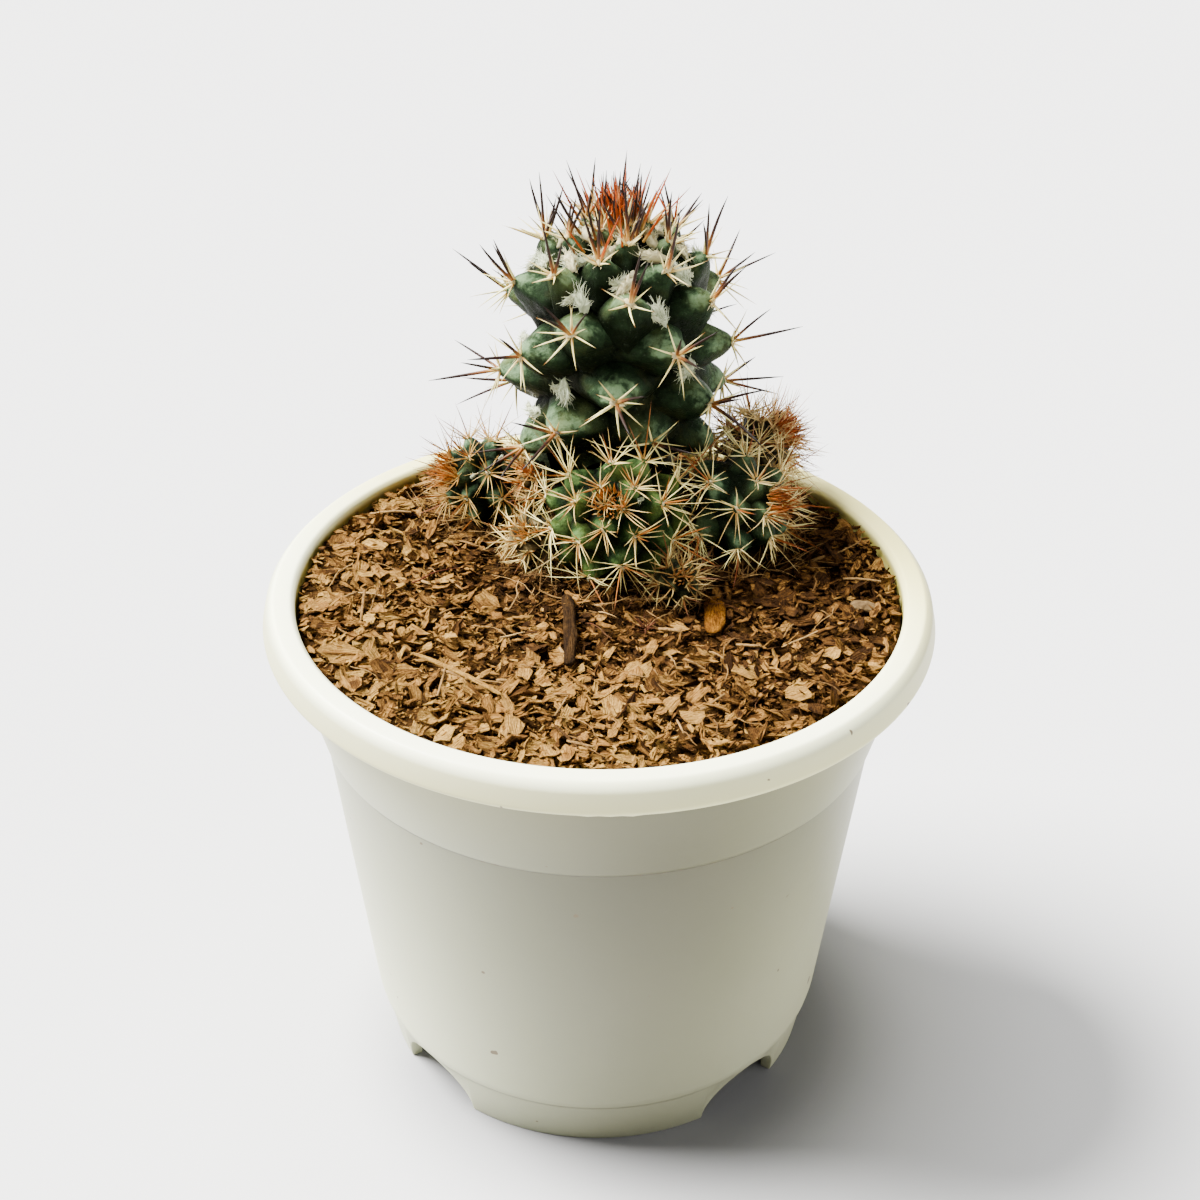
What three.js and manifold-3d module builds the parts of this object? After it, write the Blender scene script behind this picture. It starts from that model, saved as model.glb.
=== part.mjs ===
// A potted Mammillaria voburnensis: a clump of tubercled, spiny heads in a white nursery pot.
// Millimetres, +Z up. The origin is the centre of the pot's foot, on the surface that it stands on.
// The clump stands behind the pot's middle, towards +Y, and the side that is looked at faces -Y.
import * as THREE from "three";
import { ConvexHull } from "three/addons/math/ConvexHull.js";
import { mergeVertices } from "three/addons/utils/BufferGeometryUtils.js";
import Module from "manifold-3d";

const wasm = await Module();
wasm.setup();
const { Manifold, Mesh: SolidMesh } = wasm;

// Driving dimensions of the pot
const POT_HEIGHT = 83;
const RIM_RADIUS = 50;
const RIM_FLARE = 0.95; // the rim's skirt stands this far outside its top edge
const RIM_DEPTH = 4.7;
const RIM_ROUNDING = 1.2; // of the rim's outer edge
const LIP_RADIUS = 45.9;
const LIP_ROUNDING = 0.7;
const SKIRT_WALL = 1.3; // the rim is hollow underneath, behind its skirt
const SKIRT_HOLLOW = 2.4;
const WALL = 1.3;
const COLLAR_DROP = 1.6; // the collar begins this far under the skirt's edge
const COLLAR_TOP_RADIUS = 47.3;
const COLLAR_FOOT_RADIUS = 43.4;
const COLLAR_FOOT_Z = 61.8;
const BODY_FOOT_RADIUS = 37.3;
const BODY_FOOT_Z = 10.6;
const STEP = 0.45; // small ledges under the collar and above the foot ring
const FOOT_RADIUS = 34.9;
const FOOT_HEIGHT = 8.4;
const FOOT_WALL = 1.7;
const FOOT_CREASE = 0.4; // the wall draws in this much above the foot ring
const FLOOR_THICKNESS = 1.5;
const NOTCH_COUNT = 4;
const NOTCH_TURN = THREE.MathUtils.degToRad(42.6); // the first notch, from the front towards +X
const NOTCH_HALF_WIDTH = 8;
const NOTCH_HEIGHT = 8.1;
const DRAIN_RADIUS = 4;
const DRAIN_RING = 21;
const POT_SEGMENTS = 48;

// Driving dimensions of the soil
const GAP = 0.3; // between neighbouring pieces
const SOIL_LEVEL = 80.9;
const SOIL_SEGMENTS = 36;
const MOUND_HEIGHT = 1;
const MOUND_SPREAD = 24;
const MOUND_CENTRE = [2.2, 18.4];
const LUMP_HEIGHT = 0.3;
const LUMP_WAVE = 1.8; // the lumps are this many times two pi apart
const CHIP_COUNT = 150;
const CHIP_LENGTH = [4, 8.5];
const CHIP_THICKNESS = 0.9;
const CHIP_TILT = 0.34; // at most, in radians
const ROOT_DEPTH = 7; // how far each stem's foot stands down in its hole
const HEAD_FLOOR = SOIL_LEVEL + MOUND_HEIGHT + 2 * LUMP_HEIGHT + GAP; // a head's skin stays above this height

// Growth rule of the heads
const DIVERGENCE = THREE.MathUtils.degToRad(137.9); // turn from one tubercle to the next
const SEED = 20417;
const BALL_COVER = 0.9; // share of a ball that a head's tubercles cover, for finding neighbours
const STEM_FADE = 15; // up to this height over the soil the tall stem's tubercles are shorter
const YOUNG_LENGTH = 0.35; // of a new tubercle, as a share of a full-grown one's
const TIP_LIFT = 0.12; // how far a tubercle's tip is lifted towards the crown, of its length
const SHOULDER_HEIGHT = 0.4; // of the way up a tubercle's flank
const SHOULDER_BULGE = 0.27; // of its length
const VALLEY_BULGE = 0.04; // of a tubercle's size
const AREOLE_RADIUS = 0.62;
const PRESS_REACH = 0.9; // heads this close press on each other
const CORE_SKIN = 0.25; // what a pressed tubercle still stands out of the core
const RADIAL_RISE = 0.35; // of a radial spine out of its areole's plane
const RADIAL_SPREAD = 0.25;
const YOUNG_RISE = 1.5;
const SPINE_CLEARANCE = 0.35;
const CHIP_CLEARANCE = 2.2; // spines stay this far above the soil's level
const SPINE_REACH = RIM_RADIUS + RIM_FLARE - 0.3; // no spine stands out farther than the rim

// The heads. centre is the middle of a round head; the tall stem has an outline of [height, radius] over
// its tips. lean is the direction that the crown looks in, and first is the turn of the first tubercle.
// tubercle is how far a full-grown one stands out, and cell is the surface that it takes up, in square
// millimetres. growth is how much of that surface the first one takes up, and how much more each next
// one, which is twice as much from number late on.
const STEM = {
  name: "stem_main",
  foot: [2.2, 26.4],
  footRadius: 8.6,
  tubercle: 6.4,
  cell: 148,
  first: THREE.MathUtils.degToRad(-8.6),
  radials: 6,
  radialLength: 7,
  centralLength: 11.5,
  droop: 0.5,
  growth: { start: 0.03, slope: 0.0237, late: 18 },
};
const STEM_TIPS = [
  [131.2, 0],
  [130.7, 3.2],
  [129.2, 7.6],
  [126.4, 12.4],
  [122.6, 15.9],
  [118, 17.7],
  [110, 18.3],
  [101, 18.2],
  [96, 16.6],
  [91, 14.6],
  [86, 12.6],
  [82.8, 11.4],
];
const PUPS = [
  {
    name: "pup_front",
    radius: 11.3,
    tubercle: 3.6,
    cell: 55,
    first: 5.2,
    centre: [2.4, 8.2, 89.8],
    lean: [-0.1, -0.77, 0.63],
  },
  {
    name: "pup_right",
    radius: 9.2,
    tubercle: 3.1,
    cell: 59,
    first: 0.17,
    centre: [20.6, 12.9, 89.2],
    lean: [0.74, -0.56, 0.38],
  },
  {
    name: "pup_left",
    radius: 7.3,
    tubercle: 2.6,
    cell: 31.7,
    first: 0.77,
    centre: [-18.3, 22.3, 88.2],
    lean: [-0.84, -0.37, 0.39],
  },
  {
    name: "pup_back_right",
    radius: 6.2,
    tubercle: 2.1,
    cell: 17,
    first: 3,
    centre: [25, 28.6, 90.6],
    lean: [0.72, -0.2, 0.66],
  },
  {
    name: "pup_small_left",
    radius: 3.4,
    tubercle: 1.3,
    cell: 10.4,
    first: 0,
    centre: [-9.9, 17.6, 91],
    lean: [-0.3, -0.6, 0.74],
  },
  {
    name: "pup_small_front",
    radius: 4.2,
    tubercle: 1.5,
    cell: 15.9,
    first: 1,
    centre: [-10.2, 7.6, 86],
    lean: [-0.35, -0.7, 0.62],
  },
  {
    name: "pup_small_right",
    radius: 3.6,
    tubercle: 1.3,
    cell: 11.7,
    first: 2,
    centre: [11.6, -2.4, 84.8],
    lean: [0.2, -0.75, 0.63],
  },
];

const PUP_GROWTH = { start: 0.2, slope: 0.06, late: Infinity };

const COLOURS = {
  pot: 0xe9e7d6,
  soil: 0x7a5a38,
  stem: 0x33523a,
  pup: 0x4c7044,
  twig: 0x6b4a35,
  straw: 0xc09a76,
  bark: 0xa8642a,
  pebble: 0xc9bfae,
};

// Numbers between 0 and 1 that are the same on every run
function seededRandom(seed) {
  let state = seed;
  return () => {
    state = (state + 0x6d2b79f5) | 0;
    let mixed = Math.imul(state ^ (state >>> 15), 1 | state);
    mixed = (mixed + Math.imul(mixed ^ (mixed >>> 7), 61 | mixed)) ^ mixed;
    return ((mixed ^ (mixed >>> 14)) >>> 0) / 4294967296;
  };
}

// A closed three.js geometry as a solid with its faces out
function solidOf(geometry) {
  const bare = geometry.clone();
  for (const name of Object.keys(bare.attributes)) {
    if (name !== "position") bare.deleteAttribute(name);
  }
  const merged = mergeVertices(bare, 1e-4);
  const corners = [];
  for (let i = 0; i < merged.index.count; i += 3) {
    const [a, b, c] = [0, 1, 2].map((k) => merged.index.getX(i + k));
    if (a !== b && b !== c && c !== a) corners.push(a, b, c);
  }
  const build = (triangles) =>
    new Manifold(
      new SolidMesh({
        numProp: 3,
        vertProperties: new Float32Array(merged.attributes.position.array),
        triVerts: new Uint32Array(triangles),
      }),
    );
  const made = build(corners);
  return made.volume() > 0 ? made : build(corners.reverse());
}

function meshOf(name, solid, colour, roughness) {
  const { vertProperties, triVerts } = solid.getMesh();
  const geometry = new THREE.BufferGeometry();
  geometry.setAttribute("position", new THREE.BufferAttribute(new Float32Array(vertProperties), 3));
  geometry.setIndex(new THREE.BufferAttribute(new Uint32Array(triVerts), 1));
  const material = new THREE.MeshStandardMaterial({ color: colour, roughness, metalness: 0 });
  material.flatShading = true;
  const mesh = new THREE.Mesh(geometry, material);
  mesh.name = name;
  return mesh;
}

const vector = (xyz) => new THREE.Vector3(...xyz);

const blend = (a, shareA, b, shareB) => a.clone().multiplyScalar(shareA).addScaledVector(b, shareB);

// A profile of [radius, height] points turned about the Z axis
function turned(profile, segments) {
  const points = profile.map(([radius, height]) => new THREE.Vector2(radius, height));
  return new THREE.LatheGeometry(points, segments).rotateX(Math.PI / 2);
}

// Pot

const collarTopZ = POT_HEIGHT - RIM_DEPTH - COLLAR_DROP;
const floorTop = FOOT_HEIGHT + FLOOR_THICKNESS;

// The inside of the wall, from the lip down to the floor, as [radius, height]
const innerWall = [
  [LIP_RADIUS + 0.1, POT_HEIGHT - 2],
  [COLLAR_TOP_RADIUS - WALL, collarTopZ],
  [COLLAR_FOOT_RADIUS - STEP - WALL, COLLAR_FOOT_Z],
  [BODY_FOOT_RADIUS - WALL, floorTop + WALL],
  [BODY_FOOT_RADIUS - 1.5 * WALL, floorTop],
];

function potProfile() {
  const skirtZ = POT_HEIGHT - RIM_DEPTH;
  const skirtRadius = RIM_RADIUS + RIM_FLARE;
  const loop = [
    [FOOT_RADIUS - FOOT_WALL, 0],
    [FOOT_RADIUS, 0],
    [BODY_FOOT_RADIUS - FOOT_CREASE - STEP, FOOT_HEIGHT],
    [BODY_FOOT_RADIUS - FOOT_CREASE, FOOT_HEIGHT + STEP],
    [BODY_FOOT_RADIUS, BODY_FOOT_Z],
    [COLLAR_FOOT_RADIUS - STEP, COLLAR_FOOT_Z - STEP],
    [COLLAR_FOOT_RADIUS, COLLAR_FOOT_Z],
    [COLLAR_TOP_RADIUS, collarTopZ],
    [COLLAR_TOP_RADIUS + 0.3, skirtZ + SKIRT_HOLLOW],
    [skirtRadius - SKIRT_WALL - 0.2, skirtZ + SKIRT_HOLLOW],
    [skirtRadius - SKIRT_WALL, skirtZ],
    [skirtRadius - 0.2, skirtZ],
    [skirtRadius, skirtZ + 0.6],
    [RIM_RADIUS + 0.3, POT_HEIGHT - RIM_ROUNDING],
    [RIM_RADIUS + 0.3 - RIM_ROUNDING, POT_HEIGHT],
    [LIP_RADIUS + LIP_ROUNDING, POT_HEIGHT],
    [LIP_RADIUS, POT_HEIGHT - LIP_ROUNDING],
    ...innerWall,
    [DRAIN_RADIUS, floorTop],
    [DRAIN_RADIUS, FOOT_HEIGHT],
    [FOOT_RADIUS - FOOT_WALL + STEP, FOOT_HEIGHT],
  ];
  return [...loop, loop[0]];
}

// The arch that is cut through the foot ring, as a prism that runs out from the pot's axis along -Y
function notchCutter() {
  const arch = new THREE.Shape();
  arch.moveTo(-NOTCH_HALF_WIDTH, -1);
  arch.lineTo(NOTCH_HALF_WIDTH, -1);
  arch.lineTo(NOTCH_HALF_WIDTH, 0);
  arch.absellipse(0, 0, NOTCH_HALF_WIDTH, NOTCH_HEIGHT, 0, Math.PI, false);
  const reach = FOOT_RADIUS + 8;
  const prism = new THREE.ExtrudeGeometry(arch, { depth: reach, bevelEnabled: false, curveSegments: 5 });
  return prism.rotateX(Math.PI / 2);
}

function drainCutter() {
  const hole = new THREE.CylinderGeometry(DRAIN_RADIUS, DRAIN_RADIUS, 4 * FLOOR_THICKNESS, 12);
  return hole.rotateX(Math.PI / 2).translate(0, -DRAIN_RING, FOOT_HEIGHT + FLOOR_THICKNESS / 2);
}

function potSolid() {
  let pot = solidOf(turned(potProfile(), POT_SEGMENTS));
  for (let i = 0; i < NOTCH_COUNT; i++) {
    const turn = NOTCH_TURN + (i * 2 * Math.PI) / NOTCH_COUNT;
    pot = pot.subtract(solidOf(notchCutter().rotateZ(turn)));
    pot = pot.subtract(solidOf(drainCutter().rotateZ(turn)));
  }
  return pot;
}

// Soil

// How far the soil stands above its level at the wall: a low mound about the plant, with small lumps
function soilRise(x, y) {
  const away = Math.hypot(x - MOUND_CENTRE[0], y - MOUND_CENTRE[1]);
  const mound = MOUND_HEIGHT * Math.exp(-((away / MOUND_SPREAD) ** 2));
  const [u, v] = [x / LUMP_WAVE, y / LUMP_WAVE];
  const lumps = Math.sin(u + 1) * Math.cos(v) + 0.6 * Math.sin(0.7 * u - 1.4 * v);
  return mound + LUMP_HEIGHT * lumps;
}

function soilBody() {
  const wall = innerWall.slice(1).map(([radius, height]) => [radius - GAP, height]);
  const bottomZ = floorTop + GAP;
  wall[wall.length - 1][1] = bottomZ;
  const edge = LIP_RADIUS - GAP;
  const rings = [0.91, 0.78, 0.65, 0.52, 0.39, 0.26, 0.13, 0];
  const top = rings.map((part) => [part * edge, SOIL_LEVEL]);
  const profile = [[0, bottomZ], ...wall.reverse(), [edge, SOIL_LEVEL - 0.4], ...top];
  const geometry = turned(profile, SOIL_SEGMENTS);
  const position = geometry.getAttribute("position");
  for (let i = 0; i < position.count; i++) {
    if (position.getZ(i) < SOIL_LEVEL - 0.1) continue;
    position.setZ(i, SOIL_LEVEL + soilRise(position.getX(i), position.getY(i)));
  }
  return solidOf(geometry);
}

// One bark chip: a thin uneven four-sided flake, lying tilted on the soil
function barkChip(x, y, length, random) {
  const outline = new THREE.Shape();
  const corners = 4;
  for (let i = 0; i < corners; i++) {
    const angle = ((i + 0.6 * random()) / corners) * 2 * Math.PI;
    const reach = (length / 2) * (0.8 + 0.2 * random());
    const point = [reach * Math.cos(angle), 0.62 * reach * Math.sin(angle)];
    if (i === 0) outline.moveTo(...point);
    else outline.lineTo(...point);
  }
  const chip = new THREE.ExtrudeGeometry(outline, { depth: CHIP_THICKNESS, bevelEnabled: false });
  chip.rotateX(CHIP_TILT * (2 * random() - 1)).rotateY(CHIP_TILT * (2 * random() - 1));
  chip.rotateZ(2 * Math.PI * random());
  return chip.translate(x, y, SOIL_LEVEL + soilRise(x, y) - 0.45 * CHIP_THICKNESS);
}

function soilSolid(keepOff) {
  const random = seededRandom(SEED);
  const chips = [];
  for (let i = 0; i < CHIP_COUNT; i++) {
    const length = THREE.MathUtils.lerp(...CHIP_LENGTH, random() ** 2);
    const radius = (LIP_RADIUS - 1.2 - length / 2) * Math.sqrt((i + 0.5) / CHIP_COUNT);
    const [x, y] = [radius * Math.sin(i * DIVERGENCE), -radius * Math.cos(i * DIVERGENCE)];
    const chip = barkChip(x, y, length, random);
    const free = keepOff.every((spot) => Math.hypot(x - spot[0], y - spot[1]) > spot[2] + length / 2);
    if (free) chips.push(solidOf(chip));
  }
  return Manifold.union([soilBody(), ...chips]);
}

// Heads

// The outline over the tips of a round head, from its crown down, as [distance along the axis, radius]
function roundTips(radius) {
  const steps = 14;
  return Array.from({ length: steps }, (_, i) => {
    const angle = (i / (steps - 1)) * 0.8 * Math.PI;
    return [radius * Math.cos(angle), radius * Math.sin(angle)];
  });
}

// The places of a head's tubercles: equal turns, and spaced down the outline so that each takes up its
// own surface, which is small at the crown and grows to a full cell.
function tubercles(head) {
  const { axis } = head;
  const side = Math.abs(axis.z) > 0.99 ? vector([1, 0, 0]) : vector([0, 0, 1]).cross(axis).normalize();
  const front = new THREE.Vector3().crossVectors(side, axis);
  const { start, slope, late } = head.growth;
  const cellAt = (n) => head.cell * Math.min(1, start + slope * (n + Math.max(0, n - late)));
  const places = [];
  let wanted = 0.6 * cellAt(0);
  let covered = 0;
  const surface = head.tips.slice(1).map(([h1, r1], i) => {
    const [h0, r0] = head.tips[i];
    return Math.PI * (r0 + r1) * Math.hypot(h1 - h0, r1 - r0);
  });
  const whole = surface.reduce((sum, part) => sum + part, 0);
  for (let i = 1; i < head.tips.length; i++) {
    const [[h0, r0], [h1, r1]] = [head.tips[i - 1], head.tips[i]];
    while (wanted < covered + surface[i - 1]) {
      const n = places.length;
      const part = (wanted - covered) / surface[i - 1];
      const radius = THREE.MathUtils.lerp(r0, r1, part);
      const height = THREE.MathUtils.lerp(h0, h1, part);
      const turn = head.first + n * DIVERGENCE;
      const away = blend(side, Math.sin(turn), front, Math.cos(turn));
      const slant = Math.atan2(r1 - r0, h0 - h1);
      const out = blend(away, Math.cos(slant), axis, Math.sin(slant));
      const up = blend(axis, Math.cos(slant), away, -Math.sin(slant));
      const tip = head.origin.clone().addScaledVector(axis, height).addScaledVector(away, radius);
      const polar = Math.acos(1 - (2 * BALL_COVER * wanted) / whole);
      const ball = blend(away, Math.sin(polar), axis, Math.cos(polar));
      places.push({ tip, out, up, ball, size: Math.sqrt(cellAt(n)), age: cellAt(n) / head.cell });
      wanted += cellAt(n + 1);
    }
    covered += surface[i - 1];
  }
  return places;
}

// The faces between neighbouring points of a ball, and for each point its ring of faces, counter-clockwise
function facesAround(points) {
  const hull = new ConvexHull().setFromPoints(points);
  const numberOf = new Map(points.map((point, i) => [point, i]));
  const following = points.map(() => new Map());
  const faces = hull.faces.map((face, f) => {
    const edges = [face.edge, face.edge.next, face.edge.next.next];
    const corners = edges.map((edge) => numberOf.get(edge.head().point));
    corners.forEach((a, k) => following[a].set(corners[(k + 1) % 3], [f, corners[(k + 2) % 3]]));
    return corners;
  });
  const rings = following.map((next) => {
    let neighbour = next.keys().next().value;
    return Array.from(next, () => {
      const [f, after] = next.get(neighbour);
      neighbour = after;
      return f;
    });
  });
  return { faces, rings };
}

// The triangles between an outer and an inner ring, both counter-clockwise, matched by their turns
function stitched(outer, inner, turnOf) {
  const wrap = (angle) => ((angle % (2 * Math.PI)) + 2 * Math.PI) % (2 * Math.PI);
  const near = (angle) => wrap(angle + Math.PI) - Math.PI;
  const first = turnOf(outer[0]);
  const offsets = inner.map((v) => near(turnOf(v) - first));
  const start = offsets.indexOf(offsets.reduce((best, x) => (Math.abs(x) < Math.abs(best) ? x : best)));
  const turnsOf = (ring, from, shift) => {
    const turns = [shift];
    for (let i = 0; i < ring.length; i++) {
      const [a, b] = [ring[(from + i) % ring.length], ring[(from + i + 1) % ring.length]];
      turns.push(turns[i] + wrap(turnOf(b) - turnOf(a)));
    }
    return turns;
  };
  const outerTurns = turnsOf(outer, 0, 0);
  const innerTurns = turnsOf(inner, start, offsets[start]);
  const triangles = [];
  let [i, k] = [0, 0];
  while (i < outer.length || k < inner.length) {
    const [here, there] = [outer[i % outer.length], inner[(start + k) % inner.length]];
    const outerNext = outerTurns[i] + outerTurns[i + 1];
    const innerNext = innerTurns[k] + innerTurns[k + 1];
    if (k === inner.length || (i < outer.length && outerNext <= innerNext)) {
      i += 1;
      triangles.push([here, outer[i % outer.length], there]);
    } else {
      k += 1;
      triangles.push([inner[(start + k) % inner.length], there, here]);
    }
  }
  return triangles;
}

// How far a point lies outside the outline over a head's tips; negative inside it
function outsideOf(head, point) {
  if (head.centre) return point.distanceTo(head.origin) - head.radius;
  const heights = head.tips.map(([height]) => height);
  const z = THREE.MathUtils.clamp(point.z, heights[heights.length - 1], heights[0]);
  const i = Math.max(1, heights.findIndex((height) => height <= z));
  const [[h0, r0], [h1, r1]] = [head.tips[i - 1], head.tips[i]];
  const radius = THREE.MathUtils.lerp(r0, r1, (h0 - z) / (h0 - h1));
  const beyond = Math.hypot(point.x - head.foot[0], point.y - head.foot[1]) - radius;
  return point.z > z ? Math.hypot(Math.max(0, beyond), point.z - z) : beyond;
}

// Whether a point of a head's skin would press into the soil or a neighbour. Where two heads press on
// each other, the larger one's tubercles end at the smaller one's core, and the smaller one's are flat.
function pressesIn(head, point, others) {
  if (point.z < HEAD_FLOOR) return true;
  return others.some((other) => {
    if (other.centre && point.distanceTo(other.origin) < other.coreRadius + CORE_SKIN + GAP) return true;
    if (head.radius > other.radius || outsideOf(other, point) > PRESS_REACH) return false;
    return !head.centre || point.distanceTo(head.origin) > head.coreRadius + CORE_SKIN;
  });
}

// How far a tubercle is shortened, so that it presses into nothing
function pressedBack(head, tip, out, depth, others) {
  const steps = 20;
  for (let i = 0; i < steps; i++) {
    const back = (i / steps) * depth;
    if (!pressesIn(head, tip.clone().addScaledVector(out, -back), others)) return back;
  }
  return depth;
}

// The shortest distance between two straight spines, each { root, end }
function spineDistance(one, two) {
  const [u, v] = [one.end.clone().sub(one.root), two.end.clone().sub(two.root)];
  const w = one.root.clone().sub(two.root);
  const [a, b, c, d, e] = [u.dot(u), u.dot(v), v.dot(v), u.dot(w), v.dot(w)];
  const spread = a * c - b * b;
  let s = spread > 1e-9 ? THREE.MathUtils.clamp((b * e - c * d) / spread, 0, 1) : 0;
  const t = THREE.MathUtils.clamp((b * s + e) / c, 0, 1);
  s = THREE.MathUtils.clamp((b * t - d) / a, 0, 1);
  return w.addScaledVector(u, s).addScaledVector(v, -t).length();
}

function inNeck(head, point) {
  const away = Math.hypot(point.x - head.foot[0], point.y - head.foot[1]);
  return point.z < head.neckTop && away < head.footRadius + GAP;
}

// A spine may grow where it stays clear of the other heads, of the soil and pot, and of all spines so far
function mayGrow(spine, others, grown) {
  for (let i = 0; i <= 5; i++) {
    const point = spine.root.clone().lerp(spine.end, i / 5);
    if (point.z < SOIL_LEVEL + CHIP_CLEARANCE && Math.hypot(point.x, point.y) < RIM_RADIUS + 2) return false;
    if (others.some((other) => outsideOf(other, point) < GAP || inNeck(other, point))) return false;
  }
  const reach = spine.root.distanceTo(spine.end);
  return grown.every((other) => {
    if (other.areole === spine.areole) return true;
    if (other.root.distanceTo(spine.root) > reach + other.reach + 1) return true;
    return spineDistance(spine, other) > SPINE_CLEARANCE;
  });
}

// The skin of a head as one closed mesh: valleys between the tubercles, the tubercles' flanks, a small
// areole on each tip, and the spines that rise from the areole's triangles.
function headSolid(head, others, grown) {
  const random = seededRandom(SEED + Math.round(1000 * head.first));
  const places = tubercles(head);
  const rootBall = head.axis.clone().negate();
  const { faces, rings } = facesAround([...places.map((place) => place.ball), rootBall]);
  const points = [];
  const triangles = [];
  const add = (point) => points.push(point) - 1;

  for (const place of places) {
    const fading = head.centre ? 1 : THREE.MathUtils.clamp((place.tip.z - SOIL_LEVEL) / STEM_FADE, 0.2, 1);
    place.depth = head.tubercle * THREE.MathUtils.lerp(YOUNG_LENGTH, 1, place.age) * fading;
    place.side = new THREE.Vector3().crossVectors(place.up, place.out);
    place.core = place.tip.clone().addScaledVector(place.out, -place.depth);
    const tip = place.tip.clone().addScaledVector(place.up, TIP_LIFT * place.depth);
    const back = pressedBack(head, tip, place.out, place.depth, others);
    place.pressed = back > 0.3;
    place.top = tip.addScaledVector(place.out, -back);
    place.top.z = Math.max(place.top.z, HEAD_FLOOR);
  }
  const rootPoint = head.rootPoint.clone();
  rootPoint.z = Math.max(rootPoint.z, HEAD_FLOOR);
  const valleys = faces.map((corners) => {
    const met = corners.filter((i) => i < places.length).map((i) => places[i]);
    const valley = new THREE.Vector3();
    const out = new THREE.Vector3();
    let size = 0;
    for (const place of met) {
      valley.addScaledVector(place.core, 1 / met.length);
      out.add(place.out);
      size += place.size / met.length;
    }
    if (met.length < 3) valley.lerp(rootPoint, 0.4);
    else valley.addScaledVector(out.normalize(), VALLEY_BULGE * size);
    valley.addScaledVector(out, -pressedBack(head, valley, out, 0.3 * size, others));
    valley.z = Math.max(valley.z, HEAD_FLOOR);
    return add(valley);
  });

  places.forEach((place, number) => {
    const { top, out, up, side } = place;
    const turnOf = (v) => {
      const from = points[v].clone().sub(top);
      return Math.atan2(from.dot(up), from.dot(side));
    };
    const ringAt = (count, radius, rise, turn) =>
      Array.from({ length: count }, (_, k) => {
        const angle = turn + (k / count) * 2 * Math.PI;
        const point = top.clone().addScaledVector(side, radius * Math.cos(angle));
        return add(point.addScaledVector(up, radius * Math.sin(angle)).addScaledVector(out, rise));
      });
    let foot = rings[number].map((f) => valleys[f]);
    if (head.shoulders) {
      const shoulder = foot.map((v) => {
        const point = points[v].clone().lerp(top, SHOULDER_HEIGHT);
        return add(point.addScaledVector(out, SHOULDER_BULGE * place.depth));
      });
      foot.forEach((v, k) => {
        const next = (k + 1) % foot.length;
        triangles.push([v, foot[next], shoulder[next]], [v, shoulder[next], shoulder[k]]);
      });
      foot = shoulder;
    }
    const areoleRadius = Math.min(AREOLE_RADIUS, 0.2 * place.size);
    const turn = 2 * Math.PI * random();
    const areole = ringAt(head.radials, areoleRadius, 0, turn);
    const middle = ringAt(3, 0.42 * areoleRadius, 0.2 * areoleRadius, turn + Math.PI / head.radials);
    triangles.push(...stitched(foot, areole, turnOf));

    const young = 1 - place.age;
    const grow = (triangle, direction, length) => {
      const root = new THREE.Vector3();
      for (const v of triangle) root.addScaledVector(points[v], 1 / 3);
      for (const bend of [0, 0.4, 1]) {
        const way = direction.clone().addScaledVector(out, bend).normalize();
        let reach = length;
        while (Math.hypot(root.x + reach * way.x, root.y + reach * way.y) > SPINE_REACH) reach *= 0.95;
        const spine = { root, end: root.clone().addScaledVector(way, reach), areole: place, reach };
        if (place.pressed || !mayGrow(spine, others, grown)) continue;
        grown.push(spine);
        const tip = add(spine.end);
        const [a, b, c] = triangle;
        triangles.push([a, b, tip], [b, c, tip], [c, a, tip]);
        return;
      }
      triangles.push(triangle);
    };
    for (const triangle of stitched(areole, middle, turnOf)) {
      if (triangle.filter((v) => areole.includes(v)).length < 2) {
        triangles.push(triangle);
        continue;
      }
      const middlePoint = points[triangle[0]].clone().add(points[triangle[1]]).multiplyScalar(0.5);
      const rise = RADIAL_RISE + RADIAL_SPREAD * random() + YOUNG_RISE * young;
      const direction = middlePoint.sub(top).normalize().addScaledVector(out, rise);
      const length = head.radialLength * (0.85 + 0.3 * random()) * (1 - 0.25 * young);
      grow(triangle, direction.normalize(), length);
    }
    const central = out.clone().addScaledVector(up, 0.1 + 0.5 * random() - head.droop * place.age);
    central.addScaledVector(side, 0.5 * (random() - 0.5)).normalize();
    grow(middle, central, head.centralLength * (0.8 + 0.25 * random()) * (1 - 0.45 * young));
  });

  const bottom = add(rootPoint);
  const under = rings[places.length].map((f) => valleys[f]);
  under.forEach((v, k) => triangles.push([v, under[(k + 1) % under.length], bottom]));
  return meshSolid(points, triangles);
}

function meshSolid(points, triangles) {
  return new Manifold(
    new SolidMesh({
      numProp: 3,
      vertProperties: new Float32Array(points.flatMap((point) => point.toArray())),
      triVerts: new Uint32Array(triangles.flat()),
    }),
  );
}

// The foot of a head: a plain peg that stands in its hole in the soil
function pegSolid(head, margin, top) {
  const [x, y] = head.foot;
  const bottom = SOIL_LEVEL - ROOT_DEPTH - margin;
  const radius = head.footRadius + margin;
  const peg = new THREE.CylinderGeometry(radius, radius, top - bottom, 10);
  return solidOf(peg.rotateX(Math.PI / 2).translate(x, y, (top + bottom) / 2));
}

function describeStem() {
  return {
    ...STEM,
    shoulders: true,
    axis: vector([0, 0, 1]),
    origin: vector([...STEM.foot, 0]),
    tips: STEM_TIPS,
    rootPoint: vector([...STEM.foot, STEM_TIPS[STEM_TIPS.length - 1][0] - 1]),
    neckTop: STEM_TIPS[STEM_TIPS.length - 1][0] + 2,
  };
}

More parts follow.
